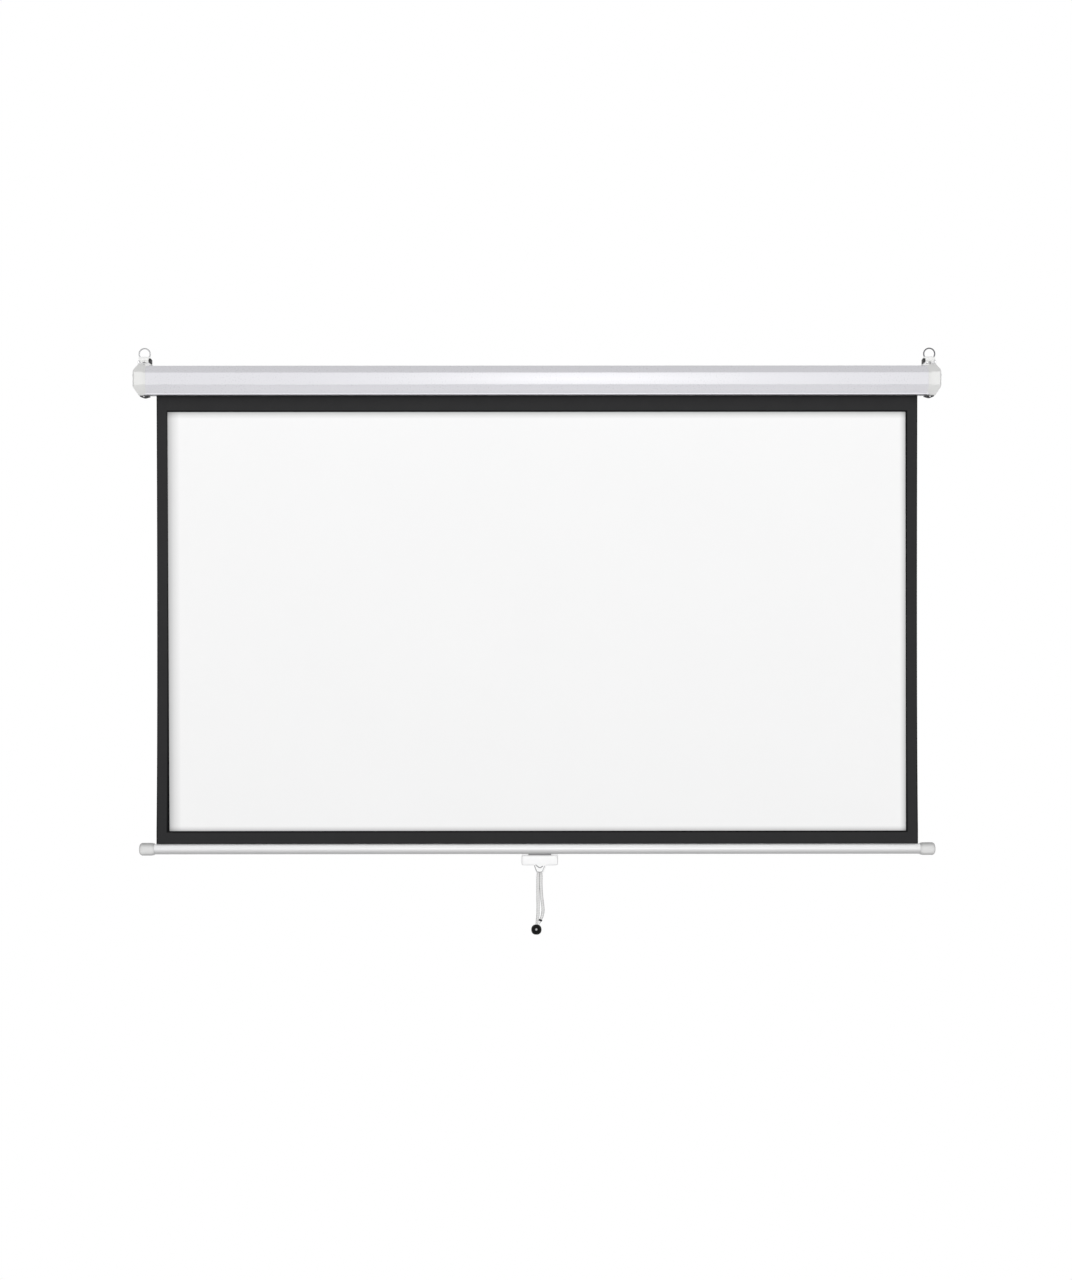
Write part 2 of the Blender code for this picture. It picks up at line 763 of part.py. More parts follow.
def hanging_loop(name, side, hinge):
    """The loop that hangs on a hook: a D-shaped eye on a narrower foot with a barrel."""
    shoulder = math.degrees(math.asin(LOOP_FLAT / LOOP_RADIUS))
    outer = arc((0, 0), LOOP_RADIUS, -shoulder - LOOP_WRAP, 180 + shoulder + LOOP_WRAP, 28)
    foot = LOOP_FOOT_WIDTH / 2
    outer += [(-foot, -LOOP_SHOULDER), (-foot, -LOOP_PIN_DROP), (foot, -LOOP_PIN_DROP),
              (foot, -LOOP_SHOULDER)]
    inner_radius = LOOP_RADIUS - LOOP_BAND
    corner = math.degrees(math.asin(LOOP_FLAT / inner_radius))
    eye = arc((0, 0), inner_radius, -corner, 180 + corner, 24)
    x = side * HANGER_X
    plate = prism(f"hanging_loop_{name}", [outer, eye], LOOP_THICKNESS, (x, 0, 0), ALONG_Y)
    plate = as_mesh(plate)
    start = (x - foot, 0, -LOOP_PIN_DROP)
    end = (x + foot, 0, -LOOP_PIN_DROP)
    join(plate, rod(f"barrel_{name}", LOOP_BARREL, start, end))
    far_start = (x - foot - PAST, 0, -LOOP_PIN_DROP)
    far_end = (x + foot + PAST, 0, -LOOP_PIN_DROP)
    cut(plate, rod(f"barrel_bore_{name}", LOOP_PIN_RADIUS + GAP, far_start, far_end, sides=16))
    return shown(plate, bright_steel(), hinge)


def roller_tube(axis):
    rings = [circle((0, 0), ROLLER_RADIUS, 40), circle((0, 0), ROLLER_RADIUS - ROLLER_WALL, 40)]
    thing = prism("roller_tube", rings, 2 * ROLLER_END, (0, ROLLER_Y, CASE_Z))
    return shown(thing, galvanised_steel(), axis)


def wound_cloth(axis):
    rings = [circle((0, 0), WOUND_RADIUS, 40), circle((0, 0), ROLLER_RADIUS + GAP, 40)]
    thing = prism("wound_cloth", rings, CLOTH_WIDTH, (0, ROLLER_Y, CASE_Z))
    return shown(thing, black_cloth(), axis)


def roller_plug(name, side, bore, depth, axis):
    """A flanged plug in the end of the tube, bored from outside to a given depth."""
    fit = ROLLER_RADIUS - ROLLER_WALL - GAP
    through = depth >= PLUG_DEPTH
    profile = [] if through else [(0, -depth), (bore, -depth)]
    profile += [
        (bore, PLUG_FLANGE + GAP), (ROLLER_RADIUS, PLUG_FLANGE + GAP), (ROLLER_RADIUS, GAP),
        (fit, GAP), (fit, -PLUG_DEPTH), (bore if through else 0, -PLUG_DEPTH),
    ]
    turn = ALONG_X if side > 0 else ALONG_MINUS_X
    place = (side * ROLLER_END, ROLLER_Y, CASE_Z)
    plug = turned(f"roller_plug_{name}", profile, place, turn, closed=through)
    return shown(plug, nylon(), axis)


def idle_pin(axis):
    start = (-(ROLLER_END - IDLE_PIN_DEPTH + GAP), ROLLER_Y, CASE_Z)
    end = (-BRACKET_OUTER, ROLLER_Y, CASE_Z)
    return shown(rod("idle_pin", IDLE_PIN_RADIUS, start, end), galvanised_steel(), axis)


def spring_shaft():
    start = (SHAFT_START, ROLLER_Y, CASE_Z)
    end = (BRACKET_INNER - SPEAR_LENGTH, ROLLER_Y, CASE_Z)
    shaft = rod("spring_shaft", SHAFT_RADIUS, start, end)
    spear = box(
        "spear",
        (end[0] - MERGE, ROLLER_Y - SPEAR_DEPTH / 2, CASE_Z - SPEAR_WIDTH / 2),
        (BRACKET_OUTER, ROLLER_Y + SPEAR_DEPTH / 2, CASE_Z + SPEAR_WIDTH / 2),
    )
    return shown(join(shaft, spear), galvanised_steel())


def spring_anchor():
    """The fixed block on the shaft's inner end, which holds the spring's still end."""
    outer = ROLLER_RADIUS - ROLLER_WALL - RUNNING_GAP
    bore = SHAFT_RADIUS + GAP
    profile = [(bore, ANCHOR_LENGTH), (outer, ANCHOR_LENGTH), (outer, 0), (bore, 0)]
    place = (SHAFT_START + SHAFT_NOSE, ROLLER_Y, CASE_Z)
    return shown(turned("spring_anchor", profile, place, closed=True), nylon())


def torsion_spring():
    start = SHAFT_START + SHAFT_NOSE + ANCHOR_LENGTH + SPRING_MARGIN
    end = ROLLER_END - PLUG_DEPTH - SPRING_MARGIN
    count = SPRING_TURNS * SPRING_POINTS
    points = []
    for i in range(count + 1):
        angle = 2 * math.pi * i / SPRING_POINTS
        points.append((
            start + (end - start) * i / count,
            ROLLER_Y + SPRING_RADIUS * math.cos(angle),
            CASE_Z + SPRING_RADIUS * math.sin(angle),
        ))
    least = (end - start) / SPRING_TURNS - SPRING_WIRE
    print(f"torsion_spring: least gap between its turns {least * 1000:.1f} mm")
    return shown(tube("torsion_spring", points, SPRING_WIRE, fineness=1), spring_steel())


def ratchet_wheel():
    """Four teeth, fixed on the shaft, with a pawl's way into the gaps."""
    outline = []
    pitch = 360 / RATCHET_TEETH
    up = 90 - NOTCH_START
    for tooth in range(RATCHET_TEETH):
        start = up + tooth * pitch
        outline += arc((0, 0), RATCHET_RADIUS, start, start + TOOTH_ANGLE, 3)
        outline += arc((0, 0), RATCHET_ROOT, start + TOOTH_ANGLE, start + pitch, 5)
    bore = circle((0, 0), SHAFT_RADIUS + GAP)
    x = RATCHET_START + RATCHET_WIDTH / 2
    thing = prism("ratchet_wheel", [outline, bore], RATCHET_WIDTH, (x, ROLLER_Y, CASE_Z))
    return shown(thing, galvanised_steel())


def pawl(name, flip, hinge):
    """A lever whose tip drops into the ratchet wheel when the roller stops."""
    angle = math.radians(PAWL_SWING)
    tip = (-PAWL_LENGTH * math.sin(angle), -PAWL_LENGTH * math.cos(angle))
    way = math.degrees(math.atan2(tip[1], tip[0]))
    lean = math.degrees(math.asin((PAWL_EYE_RADIUS - PAWL_TIP_RADIUS) / PAWL_LENGTH))
    outline = arc((0, 0), PAWL_EYE_RADIUS, way + 90 - lean, way + 270 + lean, 12)
    outline += arc(tip, PAWL_TIP_RADIUS, way - 90 + lean, way + 90 - lean, 6)
    hole = circle((0, 0), PAWL_PIN_RADIUS + GAP, 12)
    rings = [[(flip * y, flip * z) for y, z in ring] for ring in (outline, hole)]
    x = RATCHET_START + PAWL_WIDTH / 2
    place = (x, ROLLER_Y, CASE_Z + flip * PAWL_PIVOT)
    return shown(prism(f"pawl_{name}", rings, PAWL_WIDTH, place), galvanised_steel(), hinge)


def pawl_pin(name, flip, axis):
    """A shouldered pin pressed on the plug's flange."""
    head_from = RATCHET_OFFSET + PAWL_WIDTH + GAP
    profile = [
        (0, head_from + PIN_HEAD), (PAWL_PIN_HEAD, head_from + PIN_HEAD),
        (PAWL_PIN_HEAD, head_from), (PAWL_PIN_RADIUS, head_from), (PAWL_PIN_RADIUS, GAP), (0, GAP),
    ]
    place = (ROLLER_END + GAP + PLUG_FLANGE, ROLLER_Y, CASE_Z + flip * PAWL_PIVOT)
    return shown(turned(f"pawl_pin_{name}", profile, place, steps=12), galvanised_steel(), axis)


def cloth_piece(name, width, high, low, front, thickness):
    return box(name, (-width / 2, front, low), (width / 2, front + thickness, high))


def screen_cloth():
    front = CLOTH_Y - CLOTH_THICKNESS / 2
    thing = cloth_piece("screen_cloth", CLOTH_WIDTH, CASE_Z, VIEW_FOOT, front, CLOTH_THICKNESS)
    return shown(thing, black_cloth())


def viewing_coat():
    front = CLOTH_Y - CLOTH_THICKNESS / 2 - GAP - COAT_THICKNESS
    thing = cloth_piece("viewing_coat", VIEW_WIDTH, VIEW_TOP, VIEW_FOOT, front, COAT_THICKNESS)
    return shown(thing, matt_white_coat())


def hem_strip(slide):
    """The cloth's black foot, with a bead that the bar's slot holds."""
    half = CLOTH_THICKNESS / 2
    top = VIEW_FOOT - GAP - BAR_Z
    bead_z = BAR_RADIUS - BAR_WALL - GAP - BEAD_RADIUS
    side = math.degrees(math.asin(half / BEAD_RADIUS))
    outline = [(-half, top)]
    outline += arc((0, bead_z), BEAD_RADIUS, 90 + side, 450 - side, 14)
    outline.append((half, top))
    thing = prism("hem_strip", [outline], CLOTH_WIDTH, (0, CLOTH_Y, BAR_Z))
    return shown(thing, black_cloth(), slide)


def weight_bar(slide):
    """A round tube with a slot along its top for the cloth."""
    inner = BAR_RADIUS - BAR_WALL
    out_angle = math.degrees(math.asin(BAR_SLOT / 2 / BAR_RADIUS))
    in_angle = math.degrees(math.asin(BAR_SLOT / 2 / inner))
    outline = arc((0, 0), BAR_RADIUS, 90 + out_angle, 450 - out_angle, 36)
    outline += arc((0, 0), inner, 450 - in_angle, 90 + in_angle, 30)
    thing = as_mesh(prism("weight_bar", [outline], 2 * BAR_END, (0, CLOTH_Y, BAR_Z)))
    for number, x in enumerate(handle_screw_places()):
        hole = rod(
            f"bar_hole_{number}", SCREW_RADIUS + GAP, (x, CLOTH_Y, BAR_FOOT - PAST),
            (x, CLOTH_Y, BAR_FOOT + BAR_WALL + PAST), UPRIGHT, sides=16,
        )
        cut(thing, hole)
    return shown(thing, silver_enamel(), slide)


def weight_rod(slide):
    z = BAR_Z - (BAR_RADIUS - BAR_WALL - GAP - ROD_RADIUS)
    reach = CLOTH_WIDTH / 2 - ROD_MARGIN
    thing = rod("weight_rod", ROD_RADIUS, (-reach, CLOTH_Y, z), (reach, CLOTH_Y, z))
    return shown(thing, galvanised_steel(), slide)


def bar_cap(name, side, slide):
    """A cup with a rounded end, pushed over the bar's end."""
    bore = BAR_RADIUS + GAP
    floor = BAR_CAP_LENGTH - BAR_CAP_END
    round_from = BAR_CAP_LENGTH - BAR_CAP_ROUND
    profile = [(0, BAR_CAP_LENGTH)]
    profile += [
        (r, h) for r, h in arc((BAR_CAP_RADIUS - BAR_CAP_ROUND, round_from), BAR_CAP_ROUND, 90, 0, 6)
    ]
    profile += [
        (BAR_CAP_RADIUS, BAR_CAP_LEAD), (BAR_CAP_MOUTH, 0), (bore, 0), (bore, floor), (0, floor),
    ]
    turn = ALONG_X if side > 0 else ALONG_MINUS_X
    place = (side * BAR_CAP_INNER, CLOTH_Y, BAR_Z)
    return shown(turned(f"bar_cap_{name}", profile, place, turn, steps=32), white_plastic(), slide)


def handle_screw_places():
    half = HANDLE_WIDTH / 2 - HANDLE_SCREW_INSET
    return [HANDLE_X - half, HANDLE_X + half]


def handle_outline():
    """The T-shaped front of the handle, about its top middle."""
    wide = HANDLE_WIDTH / 2
    corner = HANDLE_CORNER
    high = HANDLE_HEIGHT
    lug = LUG_WIDTH
    outline = arc((-wide + corner, -high + corner), corner, 180, 270, 4)
    outline += [(-NECK_TOP / 2, -high), (-NECK_FOOT / 2, -high - NECK_HEIGHT)]
    outline += [(NECK_FOOT / 2, -high - NECK_HEIGHT), (NECK_TOP / 2, -high)]
    outline += arc((wide - corner, -high + corner), corner, 270, 360, 4)
    outline += [(wide, LUG_HEIGHT), (wide - lug, LUG_HEIGHT), (wide - lug, 0)]
    outline += [(-wide + lug, 0), (-wide + lug, LUG_HEIGHT), (-wide, LUG_HEIGHT)]
    return outline


def pull_handle(slide):
    thing = as_mesh(prism(
        "pull_handle", [handle_outline()], HANDLE_DEPTH, (HANDLE_X, CLOTH_Y, HANDLE_TOP), ALONG_Y,
        HANDLE_EDGE
    ))
    seat_from = (HANDLE_X - HANDLE_WIDTH, CLOTH_Y, BAR_Z)
    seat_to = (HANDLE_X + HANDLE_WIDTH, CLOTH_Y, BAR_Z)
    seat_cutter = rod("bar_seat", BAR_RADIUS + GAP, seat_from, seat_to, sides=36)
    mouth = box(
        "mouth",
        (HANDLE_X - MOUTH_WIDTH / 2, CLOTH_Y - MOUTH_THROAT / 2, NECK_FOOT_Z - PAST),
        (HANDLE_X + MOUTH_WIDTH / 2, CLOTH_Y + MOUTH_THROAT / 2, NECK_FOOT_Z + MOUTH_DEPTH),
    )
    cut(thing, seat_cutter, mouth, solver="MANIFOLD")
    for number, x in enumerate(handle_screw_places()):
        seat = HANDLE_FOOT + HANDLE_SCREW_SEAT
        bore = rod(
            f"handle_bore_{number}", SCREW_RADIUS + GAP, (x, CLOTH_Y, seat - PAST),
            (x, CLOTH_Y, BAR_Z), UPRIGHT, sides=16,
        )
        sink = rod(
            f"handle_sink_{number}", HANDLE_COUNTERBORE, (x, CLOTH_Y, HANDLE_FOOT - PAST),
            (x, CLOTH_Y, seat), UPRIGHT, sides=20,
        )
        cut(thing, bore, sink, solver="MANIFOLD")
    return shown(thing, white_plastic(), slide)


def handle_screws(slide):
    seat = HANDLE_FOOT + HANDLE_SCREW_SEAT - GAP
    length = BAR_FOOT + BAR_WALL - GAP - seat
    upside_down = (math.pi, 0, 0)
    for label, x in zip(("left", "right"), handle_screw_places()):
        screw(f"handle_screw_{label}", length, (x, CLOTH_Y, seat), upside_down, bright_steel(), slide)


def cord_piece(name, route, diameter, hinge):
    """A stretch of the cord, whose route starts at the cord's hinge."""
    points = [(HANDLE_X + x, CLOTH_Y, CORD_HINGE_Z + z) for x, z in route]
    even, length = smooth_route(points, CORD_STEP * diameter)
    print(f"{name}: {length * 1000:.1f} mm long")
    return shown(tube(name, even, diameter), white_cord(), hinge)


def cord_crimp(hinge):
    """The dark ferrule that closes the right strand's foot round the thin tail."""
    foot = Vector(RIGHT_ROUTE[-1])
    way = (foot - Vector(RIGHT_ROUTE[-2])).normalized()
    top = foot + way * GAP
    lean = math.atan2(-way.x, -way.y)
    rim = CRIMP_RADIUS - CRIMP_EDGE
    profile = [
        (0, 0), (rim, 0), (CRIMP_RADIUS, -CRIMP_EDGE), (CRIMP_RADIUS, CRIMP_EDGE - CRIMP_HEIGHT),
        (rim, -CRIMP_HEIGHT), (0, -CRIMP_HEIGHT),
    ]
    place = (HANDLE_X + top.x, CLOTH_Y, CORD_HINGE_Z + top.y)
    thing = turned("cord_crimp", profile, place, (0, lean, 0), steps=16)
    return shown(thing, spring_steel(), hinge)


def pull_ball(hinge):
    """A black ball, flat below."""
    flat = math.degrees(math.acos(BALL_FOOT / BALL_RADIUS))
    profile = [(0, BALL_RADIUS)] + arc((0, 0), BALL_RADIUS, 90, -flat, 14)[1:]
    profile.append((0, profile[-1][1]))
    place = (HANDLE_X + BALL_X, CLOTH_Y, CORD_HINGE_Z - BALL_DROP)
    return shown(turned("pull_ball", profile, place, UPRIGHT, steps=24), black_plastic(), hinge)


def build_case():
    case_shell()
    spring_shaft()
    spring_anchor()
    torsion_spring()
    ratchet_wheel()
    idle_bush()
    screen_cloth()
    viewing_coat()
    for name, side in SIDES:
        end_cap(name, side)
        cap_screws(name, side)
        end_bracket(name, side)
        bumper(name, side)
        hanger_seat(name, side)
        hinge_block(name, side)
        loop_pin(name, side)
        place = (side * HANGER_X, HANGER_SCREW_Y, SEAT_Z + SEAT_THICKNESS + GAP)
        length = SEAT_THICKNESS + GAP + HANGER_SCREW_DEPTH
        screw(f"hanger_screw_{name}", length, place, UPRIGHT, black_plastic())


def build_loops():
    for name, side in SIDES:
        hinge = empty_at(f"loop_hinge_{name}", (side * HANGER_X, 0, -LOOP_PIN_DROP))
        hanging_loop(name, side, hinge)


def build_roller():
    axis = empty_at("roller_axis", (0, ROLLER_Y, CASE_Z))
    roller_tube(axis)
    wound_cloth(axis)
    roller_plug("left", -1, IDLE_PIN_RADIUS + GAP, IDLE_PIN_DEPTH, axis)
    roller_plug("right", 1, SHAFT_RADIUS + GAP, PLUG_DEPTH, axis)
    idle_pin(axis)
    for name, flip in (("upper", 1), ("lower", -1)):
        pawl_pin(name, flip, axis)
        place = (RATCHET_START, ROLLER_Y, CASE_Z + flip * PAWL_PIVOT)
        pawl(name, flip, empty_at(f"pawl_hinge_{name}", place, axis))


def build_bar():
    slide = empty_at("bar_slide", (0, CLOTH_Y, BAR_Z))
    hem_strip(slide)
    weight_bar(slide)
    weight_rod(slide)
    for name, side in SIDES:
        bar_cap(name, side, slide)
    pull_handle(slide)
    handle_screws(slide)
    hinge = empty_at("cord_hinge", (HANDLE_X, CLOTH_Y, CORD_HINGE_Z), slide)
    cord_piece("cord_strand_left", LEFT_ROUTE, CORD_DIAMETER, hinge)
    cord_piece("cord_strand_right", RIGHT_ROUTE, CORD_DIAMETER, hinge)
    cord_piece("cord_tail", TAIL_ROUTE, TAIL_DIAMETER, hinge)
    cord_crimp(hinge)
    pull_ball(hinge)


clear_scene()
parts = collection("pull_down_projector_screen")
cutters = collection("cutters")
build_case()
build_loops()
build_roller()
build_bar()
print(f"the bar travels {BAR_TRAVEL:.4f} m up to its bumpers")
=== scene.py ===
import json
from math import asin, atan2, copysign, cos, degrees, pi, radians, sin, tan

import bmesh
import bpy
from mathutils import Euler, Matrix, Vector


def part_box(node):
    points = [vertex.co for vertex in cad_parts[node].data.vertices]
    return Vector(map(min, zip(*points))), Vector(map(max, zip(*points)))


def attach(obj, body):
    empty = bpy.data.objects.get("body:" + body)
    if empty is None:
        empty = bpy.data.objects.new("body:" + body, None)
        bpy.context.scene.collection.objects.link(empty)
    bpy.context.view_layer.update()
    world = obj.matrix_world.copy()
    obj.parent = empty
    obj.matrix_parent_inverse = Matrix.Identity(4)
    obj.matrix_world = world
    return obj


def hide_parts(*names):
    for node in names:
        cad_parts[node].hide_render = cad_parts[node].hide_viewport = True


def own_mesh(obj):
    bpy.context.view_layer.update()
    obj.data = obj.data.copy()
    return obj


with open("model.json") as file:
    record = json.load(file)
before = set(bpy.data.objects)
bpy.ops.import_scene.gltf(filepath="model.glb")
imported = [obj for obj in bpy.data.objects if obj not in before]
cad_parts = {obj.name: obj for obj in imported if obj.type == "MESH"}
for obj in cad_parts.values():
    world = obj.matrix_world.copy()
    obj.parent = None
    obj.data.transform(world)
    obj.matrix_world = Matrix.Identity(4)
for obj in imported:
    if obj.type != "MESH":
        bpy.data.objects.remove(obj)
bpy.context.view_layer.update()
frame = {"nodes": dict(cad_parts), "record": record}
nodes = frame["nodes"]
sides = (("left", -1), ("right", 1))
gap = 0.0003  # between a bore or a seat and what sits in it
past = 0.001  # how far a cutter reaches past what it cuts
bevel = 0.0004  # at the rims of turned pieces
white = (1, 1, 1, 1)


def joining(operation):
    # a method that joins a shade with another value
    return lambda first, other: first.maths(operation, first, other)


class Shade:
    # wraps a socket, so that shader maths reads as plain sums
    def __init__(self, tree, socket=None):
        self.tree = tree
        self.socket = socket

    def node(self, kind, settings=None, sockets=None, out=0):
        # a node with its settings, then its values and links; a tuple of outputs gives one each
        made = self.tree.nodes.new(kind)
        for key, value in (settings or {}).items():
            if key == "stops":
                ramp = made.color_ramp
                while len(ramp.elements) < len(value):
                    ramp.elements.new(0.5)
                for stop, (place, colour) in zip(ramp.elements, value):
                    stop.position = place
                    stop.color = (*colour, 1)
            else:
                setattr(made, key, value)
        for key, value in (sockets or {}).items():
            if isinstance(value, Shade):
                self.tree.links.new(value.socket, made.inputs[key])
            else:
                made.inputs[key].default_value = value
        if isinstance(out, tuple):
            return [Shade(self.tree, made.outputs[key]) for key in out]
        return Shade(self.tree, made.outputs[out])

    def maths(self, operation, *values):
        return self.node("ShaderNodeMath", {"operation": operation}, dict(enumerate(values)))

    def of(self, operation):
        return self.maths(operation, self)

    def __rsub__(self, other):
        return self.maths("SUBTRACT", other, self)

    __add__ = __radd__ = joining("ADD")
    __mul__ = __rmul__ = joining("MULTIPLY")
    __sub__ = joining("SUBTRACT")
    __truediv__ = joining("DIVIDE")
    least = joining("MINIMUM")
    most = joining("MAXIMUM")

    def fade(self, start, end):
        # 0 up to start, 1 from end on, smooth between
        return self.node(
            "ShaderNodeMapRange", {"interpolation_type": "SMOOTHSTEP"},
            {"Value": self, "From Min": start, "From Max": end},
        )

    def mix(self, first, second):
        # the first colour where this is 0, the second where it is 1
        return self.node("ShaderNodeMix", {"data_type": "RGBA"}, {0: self, 6: first, 7: second}, 2)

    def vary(self, colour, low, high):
        # a colour that this takes from one share of itself to another
        return self.mix(rgba(colour, low), rgba(colour, high))

    def scaled(self, factors):
        return self.node("ShaderNodeVectorMath", {"operation": "MULTIPLY"}, {0: self, 1: factors})

    def parts(self):
        return self.node("ShaderNodeSeparateXYZ", {}, {0: self}, (0, 1, 2))

    def place(self, kind="Object"):
        return self.node("ShaderNodeTexCoord", out=kind)

    def noise(self, scale, detail=3.0, rough=0.5):
        return self.node(
            "ShaderNodeTexNoise", {}, {"Vector": self, "Scale": scale, "Detail": detail, "Roughness": rough}
        )

    def relief(self, distance, strength=1.0):
        return self.node("ShaderNodeBump", {}, {"Strength": strength, "Distance": distance, "Height": self})


def rgba(colour, factor=1.0):
    return tuple(part * factor for part in colour) + (1,)


def finish(name, roughness, metallic=0.0, gloss=0.5):
    # a material with its fixed numbers set on the shader itself
    material = bpy.data.materials.new(name)
    material.use_nodes = True
    skin = material.node_tree.nodes["Principled BSDF"]
    skin.inputs["Roughness"].default_value = roughness
    skin.inputs["Metallic"].default_value = metallic
    skin.inputs["Specular IOR Level"].default_value = gloss
    return material, Shade(material.node_tree)


def feed(material, colour, roughness, normal):
    # links what varies over the surface
    tree = material.node_tree
    for key, value in (("Base Color", colour), ("Roughness", roughness), ("Normal", normal)):
        tree.links.new(value.socket, tree.nodes["Principled BSDF"].inputs[key])
    return material


def paintedEdgeShade(shade, level):
    # painted shade: 1 where a surface faces front or back, darker down to the level where it turns aside from
    # the front light
    facing = shade.place("Normal").parts()[1]
    return (facing * facing).fade(0.2, 0.85).mix(rgba((level,) * 3), white)


enamel = dict(
    colour=(0.737, 0.733, 0.77), roughness=0.28, gloss=0.75, mottle=0.008,
    mottleScale=9.0, peel=260.0, depth=0.00003,
)


def makeEnamel(name, look):
    # sprayed enamel: faint mottle and orange peel
    material, shade = finish(name, look["roughness"], gloss=look["gloss"])
    mottle = shade.place().noise(look["mottleScale"])
    peel = shade.place().noise(look["peel"], 2.0)
    return feed(
        material, mottle.vary(look["colour"], 1 - look["mottle"], 1 + look["mottle"]),
        look["roughness"] - 0.03 + 0.05 * peel + 0.01 * mottle, peel.relief(look["depth"]),
    )


# plastics and metals by colour, roughness, grain, depth, and some with an edge level of painted shade and gloss
lookKeys = ("colour", "roughness", "grain", "depth", "edge", "gloss")
plastics = {
    "capPlastic": ((0.8, 0.8, 0.79), 0.42, 700.0, 0.00003),
    "barCapPlastic": ((0.75, 0.75, 0.745), 0.48, 600.0, 0.00005, 0.72),
    "loopFoot": ((0.86, 0.86, 0.85), 0.4, 700.0, 0.00002),
    "handlePlastic": ((0.985, 0.985, 0.987), 0.38, 650.0, 0.00002, 0.76),
    "grooveShade": ((0.3, 0.3, 0.31), 0.6, 650.0, 0.00002),
    "screwBlack": ((0.02, 0.02, 0.021), 0.7, 500.0, 0.00002, None, 0.15),
    "blackPlastic": ((0.012, 0.012, 0.013), 0.38, 500.0, 0.00003),
    "blackRubber": ((0.03, 0.03, 0.033), 0.75, 420.0, 0.00006),
    # greyFoam: the handle liner's grey, also painted shade in the gap under the bar
    "greyFoam": ((0.27, 0.27, 0.275), 0.85, 520.0, 0.00008),
    "nylon": ((0.74, 0.72, 0.64), 0.5, 380.0, 0.00003),
}


def makePlastic(name, look):
    # moulded plastic or rubber: spark-eroded grain, and scuffs that change the gloss
    material, shade = finish(name, look["roughness"], gloss=look.get("gloss", 0.5))
    grain = shade.place().noise(look["grain"], 2.0)
    scuff = shade.place().noise(45.0, 4.0, 0.65)
    colour = scuff.vary(look["colour"], 0.97, 1.03)
    # painted shade along the rounded edges that turn aside
    if look.get("edge"):
        colour = colour.scaled(paintedEdgeShade(shade, look["edge"]))
    return feed(material, colour, look["roughness"] - 0.08 + 0.16 * scuff, grain.relief(look["depth"]))


metals = {
    # one steel for both loops: the left copy painted lighter as painted light, the right painted darker as
    # painted shade
    "loopSteel.left": ((0.48, 0.48, 0.49), 0.34, (900, 900, 900), 0.00002),
    "loopSteel.right": ((0.17, 0.17, 0.18), 0.34, (900, 900, 900), 0.00002),
    "brightSteel": ((0.8, 0.8, 0.81), 0.27, (150, 900, 900), 0.00002),
    "ferruleSteel": ((0.1, 0.1, 0.11), 0.48, (700, 700, 700), 0.00003),
    "springSteel": ((0.26, 0.26, 0.28), 0.42, (700, 700, 700), 0.00003),
}


def makeMetal(name, look):
    # drawn or pressed steel: fine lines along it, and a little tarnish
    material, shade = finish(name, look["roughness"], 1.0)
    lines = shade.place().scaled(look["grain"]).noise(1.0)
    tarnish = shade.place().noise(70.0, 4.0, 0.6)
    return feed(
        material, tarnish.vary(look["colour"], 0.86, 1.08),
        look["roughness"] - 0.1 + 0.14 * lines + 0.08 * tarnish, lines.relief(look["depth"]),
    )


zinc = dict(light=(0.62, 0.63, 0.65), dark=(0.42, 0.43, 0.46), spangle=110.0, grain=600.0)


def makeZinc(name, look):
    # galvanised sheet, with its spangle
    material, shade = finish(name, 0.42, 1.0)
    sockets = {"Vector": shade.place(), "Scale": look["spangle"]}
    spangle = shade.node("ShaderNodeTexVoronoi", {"feature": "F1"}, sockets, "Color").parts()[0]
    fine = shade.place().noise(look["grain"])
    return feed(
        material, spangle.mix(rgba(look["dark"]), rgba(look["light"])),
        0.32 + 0.16 * spangle + 0.06 * fine, fine.relief(0.00002),
    )


barPaint = dict(
    colour=(0.82, 0.82, 0.825), roughness=0.4, metallic=0.25, flake=1500.0,
    streaks=(6, 260, 260), under=0.64, over=1.17,
)


def makeBarPaint(name, look):
    # silver-white enamel with fine flake, with painted shade on its underside and painted light on its top
    material, shade = finish(name, look["roughness"], look["metallic"])
    flake = shade.place().noise(look["flake"], 2.0)
    streak = shade.place().scaled(look["streaks"]).noise(1.0)
    colour = (0.7 * streak + 0.3 * flake).vary(look["colour"], 0.95, 1.04)
    up = shade.place("Normal").parts()[2]
    # painted shade darker as the tube turns down, painted light lighter as it turns up
    paintedShadeBelow = (0 - up).fade(-0.2, 0.65).mix(white, rgba((look["under"],) * 3))
    paintedLightAbove = up.fade(0.1, 0.7).mix(white, rgba((look["over"],) * 3))
    colour = colour.scaled(paintedShadeBelow).scaled(paintedLightAbove)
    return feed(material, colour, look["roughness"] - 0.06 + 0.12 * streak, streak.relief(0.00002))


blackCloth = dict(
    colour=(0.029, 0.029, 0.03), edge=(0.014, 0.014, 0.015), edgeWidth=0.005, thread=0.0011,
    depth=0.00006, coatEdgeShade=0.0045, coatEdgeShadeColour=(0.003, 0.003, 0.0035),
)


